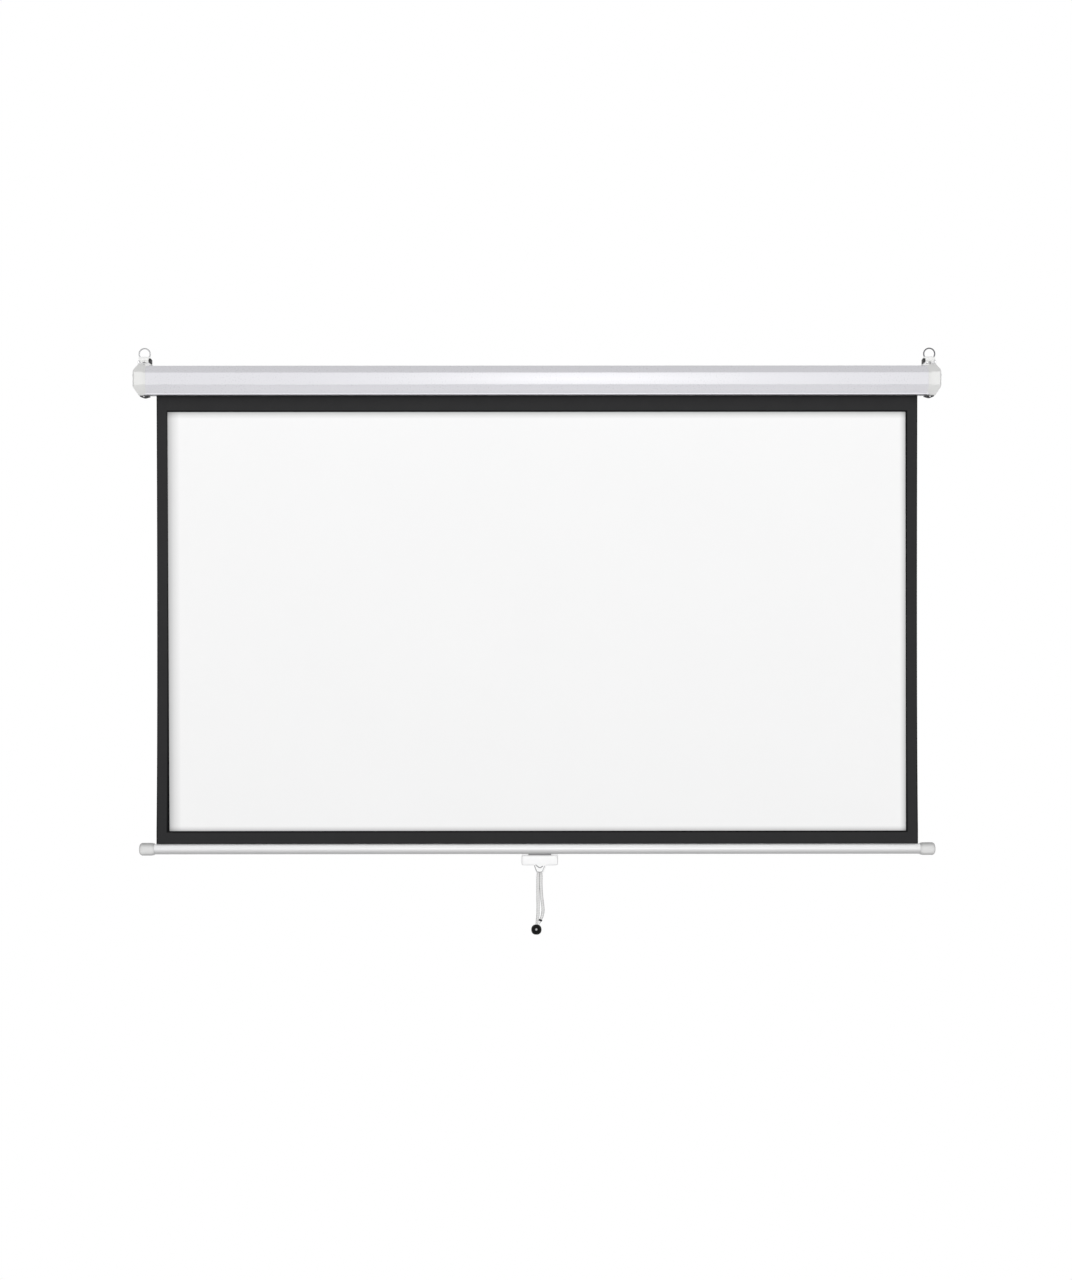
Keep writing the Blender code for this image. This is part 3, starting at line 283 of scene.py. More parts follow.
def makeBlackCloth(name, look, width, view):
    # coated black cloth: a fine weave, darker at its cut edges, and painted shade where the white coat ends on
    # it
    material, shade = finish(name, 0.85, gloss=0.1)
    across, up, _ = shade.place("UV").parts()
    cutEdge = 1 - across.least(width - across).fade(0.0, look["edgeWidth"])
    viewWidth, low, high = view
    aside = (across - width / 2).of("ABSOLUTE") - viewWidth / 2
    # painted shade: a dark band on the front along the white coat's edge
    coatEdgeShade = 1 - aside.most(low - up).most(up - high).fade(0.4 * look["coatEdgeShade"], 1.2 * look["coatEdgeShade"])
    front = 1 - shade.place("Normal").parts()[1].fade(-0.4, 0.0)
    turns = 2 * pi / look["thread"]
    weave = (across * turns).of("SINE") * (up * turns).of("SINE")
    wear = shade.place("UV").noise(14.0, 5.0, 0.6)
    base = cutEdge.mix(wear.vary(look["colour"], 0.88, 1.12), rgba(look["edge"]))
    colour = (coatEdgeShade * front).mix(base, rgba(look["coatEdgeShadeColour"]))
    return feed(material, colour, 0.78 + 0.14 * wear, weave.relief(look["depth"], 0.5))


coat = dict(
    colour=(0.94, 0.94, 0.94), rimLeft=0.03, rimRight=0.015, rimTop=0.017, rimFoot=0.0125,
    grain=900.0, width=1.86, height=1.0568,
    left=(-0.928, -0.9318), right=(0.9305, 0.929),  # each side's edge at the foot and at the top
    rim=[(place, (level,) * 3) for place, level in (
        (0.0, 0.48), (0.12, 0.62), (0.42, 0.8), (0.67, 0.893), (0.92, 0.975), (1.0, 1.0),
    )],
)


def makeCoat(name, look):
    # matt white viewing coat: even in the middle, with painted shade greyer towards the black border
    material, shade = finish(name, 0.9, gloss=0.2)
    across, up, _ = shade.place("UV").parts()
    aside = (across / look["rimLeft"]).least((look["width"] - across) / look["rimRight"])
    above = (up / look["rimFoot"]).least((look["height"] - up) / look["rimTop"])
    grain = shade.place("UV").noise(look["grain"], 2.0)
    colour = shade.place("UV").noise(3.0).vary(look["colour"], 0.992, 1.008)
    # painted shade: the rim stops grey the coat towards each edge
    for inward in (aside, above):
        colour = colour.scaled(shade.node("ShaderNodeValToRGB", {"stops": look["rim"]}, {"Fac": inward}))
    return feed(material, colour, 0.86 + 0.08 * grain, grain.relief(0.00003))


cordWhite = dict(light=(0.84, 0.84, 0.835), dark=(0.6, 0.6, 0.6), fibre=1400.0, edge=0.55)


def makeCordBraid(name, look):
    # cotton braid: painted shade between the raised plaits and along its edges, with fibre along it
    material, shade = finish(name, 0.85, gloss=0.2)
    along, around, _ = shade.place("UV").parts()
    plait = shade.place().noise(look["fibre"])
    twist = ((along + around) * (2 * pi)).of("SINE")
    base = (0.5 + 0.15 * twist + 0.4 * plait).least(1.0).mix(rgba(look["dark"]), rgba(look["light"]))
    return feed(
        material, base.scaled(paintedEdgeShade(shade, look["edge"])), 0.78 + 0.14 * plait, plait.relief(0.0001, 0.6)
    )


ballBlack = dict(
    colour=(0.004, 0.004, 0.004), paintedHighlight=(0.62, 0.62, 0.62), spot=(-0.0028, -1.4486), spotSize=0.003,
    middle=0.0135,
)


def makeBallPlastic(name, look):
    # black plastic, with a painted highlight: a grey spot at the middle of its front
    material, shade = finish(name, 0.5, gloss=0.1)
    across, deep, up = shade.place().parts()
    aside, above = across - look["spot"][0], up - look["spot"][1]
    away = (aside * aside + above * above).of("SQRT").fade(0.3 * look["spotSize"], 1.3 * look["spotSize"])
    behind = (deep - look["middle"]).fade(-0.006, 0.0)
    scuff = shade.place().noise(160.0, 4.0, 0.65)
    # painted highlight on the front of the ball
    paintedHighlight = (1 - away) * (1 - behind) * (0.6 + 0.6 * scuff)
    base = scuff.vary(look["colour"], 0.9, 1.15)
    colour = paintedHighlight.least(1.0).mix(base, rgba(look["paintedHighlight"]))
    return feed(material, colour, 0.42 + 0.16 * scuff, scuff.relief(0.00003))


finishes = {
    "caseEnamel": makeEnamel("caseEnamel", enamel), "zinc": makeZinc("zinc", zinc),
    "barPaint": makeBarPaint("barPaint", barPaint), "coat": makeCoat("viewingCoat", coat),
    "cordBraid": makeCordBraid("cordBraid", cordWhite),
    "ballPlastic": makeBallPlastic("ballPlastic", ballBlack),
}
for maker, looks in ((makePlastic, plastics), (makeMetal, metals)):
    for name, look in looks.items():
        finishes[name] = maker(name, dict(zip(lookKeys, look)))
print("finishes:", len(finishes))


def arc(middle, radius, start, end, steps):
    # points on an arc, angles in degrees
    turns = [radians(start + (end - start) * i / steps) for i in range(steps + 1)]
    return [(middle[0] + radius * cos(t), middle[1] + radius * sin(t)) for t in turns]


def circle(middle, radius, steps):
    return arc(middle, radius, 0, 360, steps)[:-1]


def rounded(points, radius, steps=5, closed=True):
    # the outline with each corner rounded, as far as its sides allow
    made = []
    count = len(points)
    for i, here in enumerate(points):
        if not closed and i in (0, count - 1):
            made.append(tuple(here))
            continue
        here = Vector(here)
        back = Vector(points[i - 1]) - here
        on = Vector(points[(i + 1) % count]) - here
        half = back.angle(on) / 2
        reach = min(radius / tan(half), 0.46 * back.length, 0.46 * on.length)
        first, last = here + back.normalized() * reach, here + on.normalized() * reach
        for k in range(steps + 1):
            t = k / steps
            made.append(tuple((1 - t) ** 2 * first + 2 * t * (1 - t) * here + t * t * last))
    return made


def offset(points, distance, closed=True):
    # the line moved sideways, to the left of its way
    moved = []
    count = len(points)
    for i, here in enumerate(points):
        ways = []
        if closed or i:
            ways.append((Vector(here) - Vector(points[i - 1])).normalized())
        if closed or i < count - 1:
            ways.append((Vector(points[(i + 1) % count]) - Vector(here)).normalized())
        sideways = [Vector((-way.y, way.x)) for way in ways]
        mitre = sum(sideways, Vector((0, 0))).normalized()
        moved.append(tuple(Vector(here) + mitre * distance / max(0.3, mitre.dot(sideways[0]))))
    return moved


def settle(made, slot, body, *stands):
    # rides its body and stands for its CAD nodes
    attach(made, body)
    if stands:
        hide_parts(*stands)


def smooth(mesh, below=35):
    mesh.shade_smooth()
    mesh.set_sharp_from_angle(angle=radians(below))


def show(name, data):
    # a new object in the scene
    made = bpy.data.objects.new(name, data)
    bpy.context.scene.collection.objects.link(made)
    return made


def piece(name, work, finishName, slot=None, body=None, *stands, smoothBelow=35):
    # an object from bmesh work, with its finish; one that still gets carved is settled afterwards
    bmesh.ops.recalc_face_normals(work, faces=work.faces)
    mesh = bpy.data.meshes.new(name)
    work.to_mesh(mesh)
    work.free()
    made = show(name, mesh)
    mesh.materials.append(finishes[finishName])
    smooth(mesh, smoothBelow)
    if body:
        settle(made, slot, body, *stands)
    return made


def loft(rings, ends=True):
    # a skin over rings of one count of points
    work = bmesh.new()
    rows = [[work.verts.new(point) for point in ring] for ring in rings]
    count = len(rings[0])
    for a, b in zip(rows, rows[1:]):
        for i in range(count):
            k = (i + 1) % count
            work.faces.new((a[i], a[k], b[k], b[i]))
    if ends:
        work.faces.new(rows[0][::-1])
        work.faces.new(rows[-1])
    return work


def merged(work):
    bmesh.ops.remove_doubles(work, verts=work.verts, dist=1e-7)
    return work


def hollow(rings):
    # a skin that runs from the last ring back to the first
    return merged(loft(rings + rings[:1], ends=False))


def extrude(outline, low, high, axis="x", edge=0.0, steps=3, cuts=1):
    # an outline run along an axis, its rims rounded by edge
    levels = [(low + (high - low) * i / cuts, 0.0) for i in range(cuts + 1)]
    if edge:
        quarter = arc((edge, edge), -edge, 0, 90, steps)
        levels = [(low + rise, fall) for rise, fall in quarter]
        levels += [(high - rise, fall) for rise, fall in quarter[::-1]]
    area = sum(a[0] * b[1] - b[0] * a[1] for a, b in zip(outline, outline[1:] + outline[:1]))
    inward = 1 if area > 0 else -1
    rings = []
    for level, inset in levels:
        line = offset(outline, inward * inset) if inset else outline
        rings.append([{"x": (level, a, b), "y": (a, level, b), "z": (a, b, level)}[axis] for a, b in line])
    return loft(rings)


def placed(place, turn):
    return Matrix.Translation(place) @ Euler(turn).to_matrix().to_4x4()


def lathe(profile, place, turn, steps=48):
    # radius and height pairs, turned about the local Z that the turn sets at the place
    rings = [[(a, b, height) for a, b in circle((0, 0), radius, steps)] for radius, height in profile]
    work = merged(loft(rings))
    work.transform(placed(place, turn))
    return work


def block(low, high, edge):
    # a box with rounded edges
    work = bmesh.new()
    bmesh.ops.create_cube(work, size=1)
    low, high = Vector(low), Vector(high)
    for vert in work.verts:
        vert.co = (low + high) / 2 + Vector(a * b for a, b in zip(vert.co, high - low))
    if edge:
        bmesh.ops.bevel(work, geom=work.edges[:], offset=edge, segments=3, profile=0.5, affect="EDGES")
    return work


def together(first, other):
    # one bmesh that holds both
    mesh = bpy.data.meshes.new("joining")
    other.to_mesh(mesh)
    other.free()
    first.from_mesh(mesh)
    bpy.data.meshes.remove(mesh)
    return first


def carve(target, work, operation="DIFFERENCE", finishName=None):
    # cuts the work away or adds it; the new faces take the target's finish, or the one named
    cutter = piece("carving", work, finishName or target.data.materials[0].name)
    step = target.modifiers.new("carve", "BOOLEAN")
    step.operation = operation
    step.solver = "EXACT"
    step.object = cutter
    step.material_mode = "TRANSFER"
    bpy.context.view_layer.update()
    seen = target.evaluated_get(bpy.context.evaluated_depsgraph_get())
    mesh = bpy.data.meshes.new_from_object(seen)
    target.modifiers.clear()
    old, target.data = target.data, mesh
    name = old.name
    bpy.data.meshes.remove(old)
    mesh.name = name
    bpy.data.objects.remove(cutter, do_unlink=True)
    smooth(mesh)


def smoothLine(points, spacing):
    # even points on the smooth curve through a few, and its length
    knots = [2 * Vector(points[0]) - Vector(points[1]), *[Vector(p) for p in points]]
    knots.append(2 * knots[-1] - knots[-2])
    fine = []
    for a, b, c, d in zip(knots, knots[1:], knots[2:], knots[3:]):
        for i in range(24):
            t = i / 24
            fine.append(0.5 * (
                2 * b + (c - a) * t + (2 * a - 5 * b + 4 * c - d) * t * t + (3 * b - a - 3 * c + d) * t ** 3
            ))
    fine.append(knots[-2])
    total = sum((q - p).length for p, q in zip(fine, fine[1:]))
    count = max(3, round(total / spacing))
    made, walked, step = [fine[0]], 0.0, total / count
    for p, q in zip(fine, fine[1:]):
        walked += (q - p).length
        while walked >= step and len(made) < count:
            walked -= step
            made.append(q + (p - q) * (walked / max((q - p).length, 1e-12)))
    made.append(fine[-1])
    return made, total


def mapUv(work, placeOf):
    # a UV place for each vertex
    layer = work.loops.layers.uv.new("UVMap")
    for face in work.faces:
        for loop in face.loops:
            loop[layer].uv = placeOf(loop.vert)


def tubeOn(path, radiusAt, sides=24, pitch=1.0):
    # a tube on a path in a plane of one y, its radius a number or a function of share and turn; UV in pitches
    last = len(path) - 1
    side = Vector((0, 1, 0))
    rings = []
    for i, here in enumerate(path):
        way = (path[min(last, i + 1)] - path[max(0, i - 1)]).normalized()
        out = way.cross(side).normalized()
        ring = []
        for k in range(sides):
            turn = 2 * pi * k / sides
            radius = radiusAt(i / last, turn) if callable(radiusAt) else radiusAt
            ring.append(here + out * (radius * cos(turn)) + side * (radius * sin(turn)))
        rings.append(ring)
    work = loft(rings)
    work.verts.index_update()
    length = sum((q - p).length for p, q in zip(path, path[1:]))

    def unrolled(vert):
        ring, k = divmod(vert.index, sides)
        return ring / last * length / pitch, k / sides

    mapUv(work, unrolled)
    return work


# Camera, at the photograph's own place
camera = dict(place=(-0.0117, -5.0, -0.6965), yaw=-0.098, pitch=-0.263, roll=0.038, lens=55.88)


def makeCamera(look):
    data = bpy.data.cameras.new("camera")
    data.sensor_width = 36
    data.lens = look["lens"]
    data.clip_end = 200
    made = show("camera", data)
    made.location = look["place"]
    made.rotation_euler = [radians(a) for a in (90 + look["pitch"], look["roll"], look["yaw"])]
    bpy.context.scene.camera = made


makeCamera(camera)

# The pull cord: two strands, a crimp, a thin tail and the ball. Routes are x and z from the cord's hinge.
hingeZ = -1.3034
handleX = 0.006
clothY = 0.0135
cord = dict(
    diameter=0.0063, tailDiameter=0.0024, pitch=0.0062, plaits=3, relief=0.00014,
    flat=0.28,
    left=[
        (-0.004, 0.0), (-0.0044, -0.02), (-0.0046, -0.045), (-0.0045, -0.07),
        (-0.0044, -0.092), (-0.0048, -0.11), (-0.0062, -0.122), (-0.0077, -0.1342),
    ],
    right=[
        (0.0033, 0.0), (0.003, -0.018), (0.003, -0.04), (0.0046, -0.064),
        (0.0072, -0.085), (0.0082, -0.099), (0.0061, -0.112), (0.0027, -0.1213),
    ],
    tail=[(0.0012, -0.1266), (0.0006, -0.1295), (-0.0008, -0.1318), (-0.0022, -0.13395)],
)
crimp = dict(radius=0.0044, height=0.0046, step=0.0005, groove=0.0003, deep=0.0004)
ball = dict(radius=0.013, x=-0.0086, drop=0.1473, foot=0.0121, squareness=2.25, neck=0.0019)


def cordPath(route, spacing):
    return smoothLine([(handleX + x, clothY, hingeZ + z) for x, z in route], spacing)


def makeStrand(name, hand):
    # a braided strand, pressed a little flat, its plaits raised and wound one way
    path, length = cordPath(cord[name], 0.0008)
    turns = 2 * pi * length / cord["pitch"]

    def radiusAt(share, turn):
        wave = cos(cord["plaits"] * turn + hand * turns * share)
        other = cos(cord["plaits"] * turn - hand * turns * share)
        flat = cord["flat"] * min(1.0, 9 * share, 7 * (1 - share)) * cos(turn) ** 2
        return (cord["diameter"] / 2 - cord["relief"] * (1 - max(wave, other))) * (1 + flat)

    made = piece(
        f"cordStrand.{name}", tubeOn(path, radiusAt, 24, cord["pitch"]), "cordBraid", "white_cord",
        "pull_cord", f"cord_strand_{name}", smoothBelow=60,
    )
    return made, path, length


def makeBall(look):
    # black ball with a flat foot and a small mouth above for the knot
    profile = []
    power = 2 / look["squareness"]
    for i in range(37):
        turn = radians(90 - 5 * i)
        radius = look["radius"] * abs(cos(turn)) ** power
        height = look["radius"] * copysign(abs(sin(turn)) ** power, sin(turn))
        if radius > look["neck"] and height > -look["foot"]:
            profile.append((radius, height))
    top = profile[0][1]
    profile = [(0.0, top - 0.002), (look["neck"] - bevel, top - 0.002), (look["neck"], top)] + profile
    profile += [(profile[-1][0] - 0.0008, -look["foot"]), (0.0, -look["foot"])]
    work = lathe(profile, (handleX + look["x"], clothY, hingeZ - look["drop"]), (0, 0, 0), 64)
    return piece("pullBall", work, "ballPlastic", "black_plastic", "pull_cord", "pull_ball")


def makeCrimp(look):
    # a rolled steel ferrule on the right strand's foot
    foot, before = Vector(cord["right"][-1]), Vector(cord["right"][-2])
    way = (foot - before).normalized()
    radius, height, step, groove = look["radius"], look["height"], look["step"], look["groove"]
    profile = [(0, 0), (radius - step, 0), (radius, -step)]
    for share in (0.2, 0.5, 0.8):
        z = -height * share
        profile += [(radius, z + groove), (radius - look["deep"], z), (radius, z - groove)]
    profile += [(radius, step - height), (radius - step, -height), (0, -height)]
    place = (handleX + foot.x + way.x * gap, clothY, hingeZ + foot.y + way.y * gap)
    work = lathe(profile, place, (0, atan2(-way.x, -way.y), 0), 40)
    return piece("cordCrimp", work, "ferruleSteel", "spring_steel", "pull_cord", "cord_crimp")


def makeTail():
    path, _ = cordPath(cord["tail"], 0.0006)
    work = tubeOn(path, cord["tailDiameter"] / 2, 16, 0.004)
    return piece("cordTail", work, "cordBraid", "white_cord", "pull_cord", "cord_tail")


def makePullCord():
    ends = {"left": [makeBall(ball)], "right": [makeCrimp(crimp), makeTail()]}
    for name, side in sides:
        made, path, length = makeStrand(name, -side)
        print(f"cord strand {name}: {length * 1000:.1f} mm")


makePullCord()

# Cloth: the black sheet, the white coat on its front and the black foot that the bar holds
cloth = dict(
    width=1.919, top=-0.0658, foot=-1.20115, coatWinds=-0.074, front=0.0132,
    thickness=0.0006, waist=0.002, flare=0.0035, viewTop=-0.1444, coatFront=0.0126,
    coatThickness=0.0003, travel=1.1203, hem=0.044, hemHigh=0.039, bead=0.0025,
)
for name, low in (("blackCloth", 0.0), ("hemCloth", cloth["hemHigh"])):
    finishes[name] = makeBlackCloth(
        name, blackCloth, cloth["width"], (coat["width"], low, low + coat["height"])
    )


def sheetWork(edgesAt, width, top, foot, front, thickness, columns=72, rows=56):
    # a thin closed sheet, with its place in metres from its lower left corner as UV
    work = bmesh.new()
    places = {}
    grids = []
    for y in (front, front + thickness):
        grid = []
        for r in range(rows + 1):
            z = foot + (top - foot) * r / rows
            left, right = edgesAt(r / rows)
            shares = [c / columns for c in range(columns + 1)]
            grid.append([work.verts.new((left + (right - left) * share, y, z)) for share in shares])
            places.update({vert: (width * share, z - foot) for vert, share in zip(grid[-1], shares)})
        grids.append(grid)
    strips = [strip for grid in grids for strip in zip(grid, grid[1:])]
    strips += [[grid[k] for grid in grids] for k in (0, -1)]
    strips += [[[line[k] for line in grid] for grid in grids] for k in (0, -1)]
    for near, far in strips:
        for corners in zip(near, near[1:], far[1:], far):
            work.faces.new(corners)
    mapUv(work, places.get)
    return work


def clothEdges(share):
    # the edges draw in a little between the roller and the bar, and flare where the bar spreads them
    half = cloth["width"] / 2
    half += cloth["flare"] / 2 * (1 - share) ** 6 - cloth["waist"] / 2 * sin(pi * share)
    return -half, half


def coatEdges(share):
    return [low + (high - low) * share for low, high in (coat["left"], coat["right"])]


def squashWithBar(made, top):
    # works out the share of the sheet that stays as the bar travels, and gives the sheet a mesh of its own
    keep = 1 - cloth["travel"] / (top - cloth["foot"])
    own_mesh(made)


def makeCloth():
    work = sheetWork(
        clothEdges, cloth["width"], cloth["top"], cloth["foot"], cloth["front"], cloth["thickness"]
    )
    sheet = piece("projectionCloth", work, "blackCloth", "black_cloth", "case", "screen_cloth")
    squashWithBar(sheet, cloth["top"])
    work = sheetWork(
        coatEdges, coat["width"], cloth["viewTop"], cloth["foot"], cloth["coatFront"], cloth["coatThickness"]
    )
    face = piece("viewingCoat", work, "coat", "viewing_coat", "case", "viewing_coat")
    squashWithBar(face, cloth["coatWinds"])


def makeHem():
    # the cloth's foot, with the bead that the bar's slot holds
    low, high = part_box("hem_strip")
    thin, bead = cloth["thickness"] / 2, cloth["bead"]
    side = degrees(asin(thin / bead))
    outline = [(clothY - thin, high.z)]
    outline += arc((clothY, low.z + bead), bead, 90 + side, 450 - side, 24)
    outline.append((clothY + thin, high.z))
    half = clothEdges(0)[1]
    work = extrude(outline, -half, half)
    mapUv(work, lambda vert: (cloth["width"] * (vert.co.x + half) / (2 * half), vert.co.z - low.z))
    made = piece("hemCloth", work, "hemCloth", "black_cloth", "bar", "hem_strip")
    2 * half


def makeRoll():
    # the reserve turns that stay on the roller
    low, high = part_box("wound_cloth")
    radius = (high.z - low.z) / 2
    _, y, z = (low + high) / 2
    outer, inner = circle((y, z), radius, 96), circle((y, z), radius - cloth["thickness"], 96)
    work = hollow([
        [(x, a, b) for a, b in line]
        for x, line in ((low.x, outer), (high.x, outer), (high.x, inner), (low.x, inner))
    ])
    mapUv(work, lambda vert: (vert.co.x - low.x, 0.3 + radius * atan2(vert.co.z - z, vert.co.y - y)))
    piece("woundTurns", work, "blackCloth", "black_cloth", "roller", "wound_cloth")


makeCloth()
makeHem()
makeRoll()
print("cloth: hung, with its foot and the turns on the roller")

# Case: bent sheet with rounded bends and a turned hem along the slot
case = dict(
    z=-0.0658, flats=0.069, face=0.03, wall=0.0008, lip=0.0036, hem=0.0042,
    slot=0.005, rear=0.0186, bend=0.0022, end=0.9975,
)


def caseLine():
    # the eight sides about the case's middle, from the front lip's foot round to the rear lip's
    half, near, rear = case["flats"] / 2, case["face"] / 2, case["rear"]
    lip = -half - case["lip"]
    return [
        (-near, lip), (-near, -half), (-half, -near), (-half, near), (-near, half), (near, half),
        (half, near), (half, -rear), (rear, -half), (rear, lip),
    ]


def makeCase():
    lip = caseLine()[0][1]
    line = [(case["slot"], lip + case["hem"]), (case["slot"], lip), *caseLine()]
    outer = rounded(line, case["bend"], closed=False)
    inner = offset(outer, -case["wall"], closed=False)
    loop = [(y, z + case["z"]) for y, z in outer + inner[::-1]]
    work = extrude(loop, -case["end"], case["end"], cuts=24)
    piece("caseSkin", work, "caseEnamel", "case_enamel", "case", "case_shell", smoothBelow=30)


makeCase()

# End caps, and the trim that runs between them
cap = dict(
    flats=0.079, face=0.032, inner=0.9785, outer=1.012, corner=0.0035, lip=0.0045,
    lead=0.0105, edge=0.0015, bevels=(("y", 0.9985, 0.0165), ("z", 1.006, 0.0235)),
    bevelRound=0.003, tongueIn=0.968, tongueOut=0.9845, tongueHalf=0.015, tongueEdge=0.0012,
)
trim = dict(wide=0.0028, low=0.0012, round=0.0003)


def makeLipTrim():
    # a thin black trim under the front lip, which also stands as painted shade under the lip
    foot = case["z"] + caseLine()[0][1]
    near = -case["face"] / 2 + 0.0002
    far, top, low = near + trim["wide"], foot - 0.0002, foot - trim["low"]
    outline = rounded([(near, top), (near, low), (far, low), (far, top)], trim["round"], 3)
    half = cap["inner"] - gap
    piece("lipTrim", extrude(outline, -half, half), "blackRubber", "black_rubber", "case")


def octagon(inset):
    # the cap's outline about the case's middle, drawn in by an inset
    far = cap["flats"] / 2 - inset
    near = cap["face"] / 2 - inset * tan(radians(22.5))
    corners = [(far, near), (near, far), (-near, far), (-far, near)]
    corners += [(-a, -b) for a, b in corners]
    return rounded(corners, max(0.002, cap["corner"] - 0.2 * inset))


def makeEndCap(name, side):
    # an eight-sided cap: sloped mouth, rounded and bevelled outer end, tongue on top
    middle, half, edge = case["z"], cap["flats"] / 2, cap["edge"]
    levels = [(cap["inner"], cap["lip"]), (cap["inner"] + cap["lead"], 0.0)]
    levels += arc((cap["outer"] - edge, edge), edge, -90, 0, 4)
    rings = [[(side * x, y, z + middle) for y, z in octagon(inset)] for x, inset in levels]
    made = piece(f"endCap.{name}", loft(rings), "capPlastic")
    far, start, end = half + past, cap["inner"] - 0.005, cap["outer"] + 0.0001
    for axis, slope, flat in cap["bevels"]:
        line = rounded([
            (start, -far), (slope, -far), (end, -flat), (end, flat), (slope, far), (start, far),
        ], cap["bevelRound"])
        shift, level = (middle, 0) if axis == "y" else (0, middle)
        line = [(side * a, b + shift) for a, b in line]
        carve(made, extrude(line, level - far, level + far, axis), "INTERSECT")
    if side < 0:  # the left cap has a socket for the case's end, the right one is solid
        socket = [(y, z + middle) for y, z in offset(caseLine(), gap)]
        carve(made, extrude(socket, -case["end"] - gap, past - cap["inner"]))
    low, high = sorted((side * cap["tongueIn"], side * cap["tongueOut"]))
    carve(made, block(
        (low, -cap["tongueHalf"], middle + case["flats"] / 2 + gap),
        (high, cap["tongueHalf"], middle + half - 0.0002), cap["tongueEdge"],
    ), "UNION")
    settle(made, "white_plastic", "case", f"end_cap_{name}")


makeLipTrim()
for name, side in sides:
    makeEndCap(name, side)
print("case: bent shell and end caps")

# Screws with a domed head and a cross recess
screw = dict(radius=0.0019, head=0.0038, high=0.0022, slot=0.0008, reach=0.0022, deep=0.0014)


def makeScrew(name, node, axis, end, turn, finishName="brightSteel", slot="bright_steel", body="case"):
    # the head lies at one end of the CAD screw's box along an axis
    low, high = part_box(node)
    place = (low + high) / 2
    place[axis] = high[axis] - screw["high"] if end > 0 else low[axis] + screw["high"]
    foot = low[axis] - high[axis] + screw["high"]
    radius, top, half, reach = screw["radius"], screw["high"], screw["slot"] / 2, screw["reach"]
    profile = [(screw["head"] * a, top * b) for a, b in [(0.0, 1.0)] + arc((0, 0), 1, 84, 0, 10)]
    profile += [(radius, 0), (radius, foot + bevel), (radius - bevel, foot), (0.0, foot)]
    made = piece(name, lathe(profile, (0, 0, 0), (0, 0, 0), 32), finishName)
    for wide, deep in ((reach, half), (half, reach)):
        carve(made, block((-wide, -deep, top - screw["deep"]), (wide, deep, top + past), 0))
    made.data.transform(placed(place, turn))
    settle(made, slot, body, node)


for name, side in sides:
    for label in ("front", "rear"):
        makeScrew(f"capScrew.{name}.{label}", f"cap_screw_{name}_{label}", 0, side, (0, side * pi / 2, 0))
    makeScrew(f"hangerScrew.{name}", f"hanger_screw_{name}", 2, 1, (0, 0, 0.5), "screwBlack", "black_plastic")
    makeScrew(f"handleScrew.{name}", f"handle_screw_{name}", 2, -1, (pi, 0, 0.3), body="bar")
print("screws: eight, with their recesses")

# Hanging gear over each end
hanger = dict(
    x=0.9865, radius=0.0155, wire=0.0017, chord=0.0009, flat=0.0075, footIn=0.0102,
    footOut=0.0126, inShoulder=0.0106, outShoulder=0.0139, wide=0.0152,
    barrelHalf=0.01025, pin=0.0195, barrel=0.004, pinRadius=0.002, thick=0.003,
    seatThick=0.002, seatCorner=0.004, ear=0.005, earThick=0.0025, edge=0.0004,
)
hingeBlock = dict(spread=0.003, drop=0.0023, shoulder=0.004)
bumper = dict(keelAt=0.55, tip=0.0016, keel=0.0026, keelTip=0.0005, keelDeep=0.0016)


def makeLoop(name, side):
    # a wire eye whose legs run into an off-white foot with a rolled barrel
    x, wire, edge = side * hanger["x"], hanger["wire"], hanger["edge"]
    mid = hanger["radius"] - wire
    lean = degrees(asin(hanger["flat"] / mid)) + 8
    path = [Vector((x + a, 0, b)) for a, b in arc((0, 0), mid, -lean, 180 + lean, 72)]
    piece(
        f"hangingLoop.{name}", tubeOn(path, wire, 20), f"loopSteel.{name}", "bright_steel", f"loop_{name}",
        f"hanging_loop_{name}",
    )
    reach, low = hanger["wide"] - 0.0016, -hanger["flat"] - 0.0004
    line = [Vector((x + reach * (i / 8 - 1), -0.0012, low)) for i in range(17)]
    chord = tubeOn(line, hanger["chord"], 12)
    piece(f"loopChord.{name}", chord, "brightSteel", "bright_steel", f"loop_{name}")
    near, far, foot = -hanger["footIn"], hanger["footOut"], -hanger["pin"]
    wide, top = hanger["wide"], -hanger["flat"]
    outline = rounded([
        (near, foot), (far, foot), (far, -hanger["outShoulder"]), (wide, -hanger["outShoulder"]),
        (wide, top), (-wide, top), (-wide, -hanger["inShoulder"]), (near, -hanger["inShoulder"]),
    ], 0.0008, 3)
    plate = extrude(
        [(x + side * a, b) for a, b in outline], -hanger["thick"] / 2, hanger["thick"] / 2, "y", 0.0005
    )
    half, bore, barrel = hanger["barrelHalf"], hanger["pinRadius"] + gap, hanger["barrel"]
    profile = [
        (bore, -half), (barrel - edge, -half), (barrel, edge - half), (barrel, half - edge),
        (barrel - edge, half), (bore, half),
    ]
    work = hollow([
        [(x + height, a, b) for a, b in circle((0, -hanger["pin"]), radius, 40)] for radius, height in profile
    ])
    piece(f"loopFoot.{name}", together(plate, work), "loopFoot", "bright_steel", f"loop_{name}")


def pinHole(low, high):
    hole = circle((0, -hanger["pin"]), hanger["pinRadius"] + gap, 28)
    return extrude(hole, low - past, high + past)


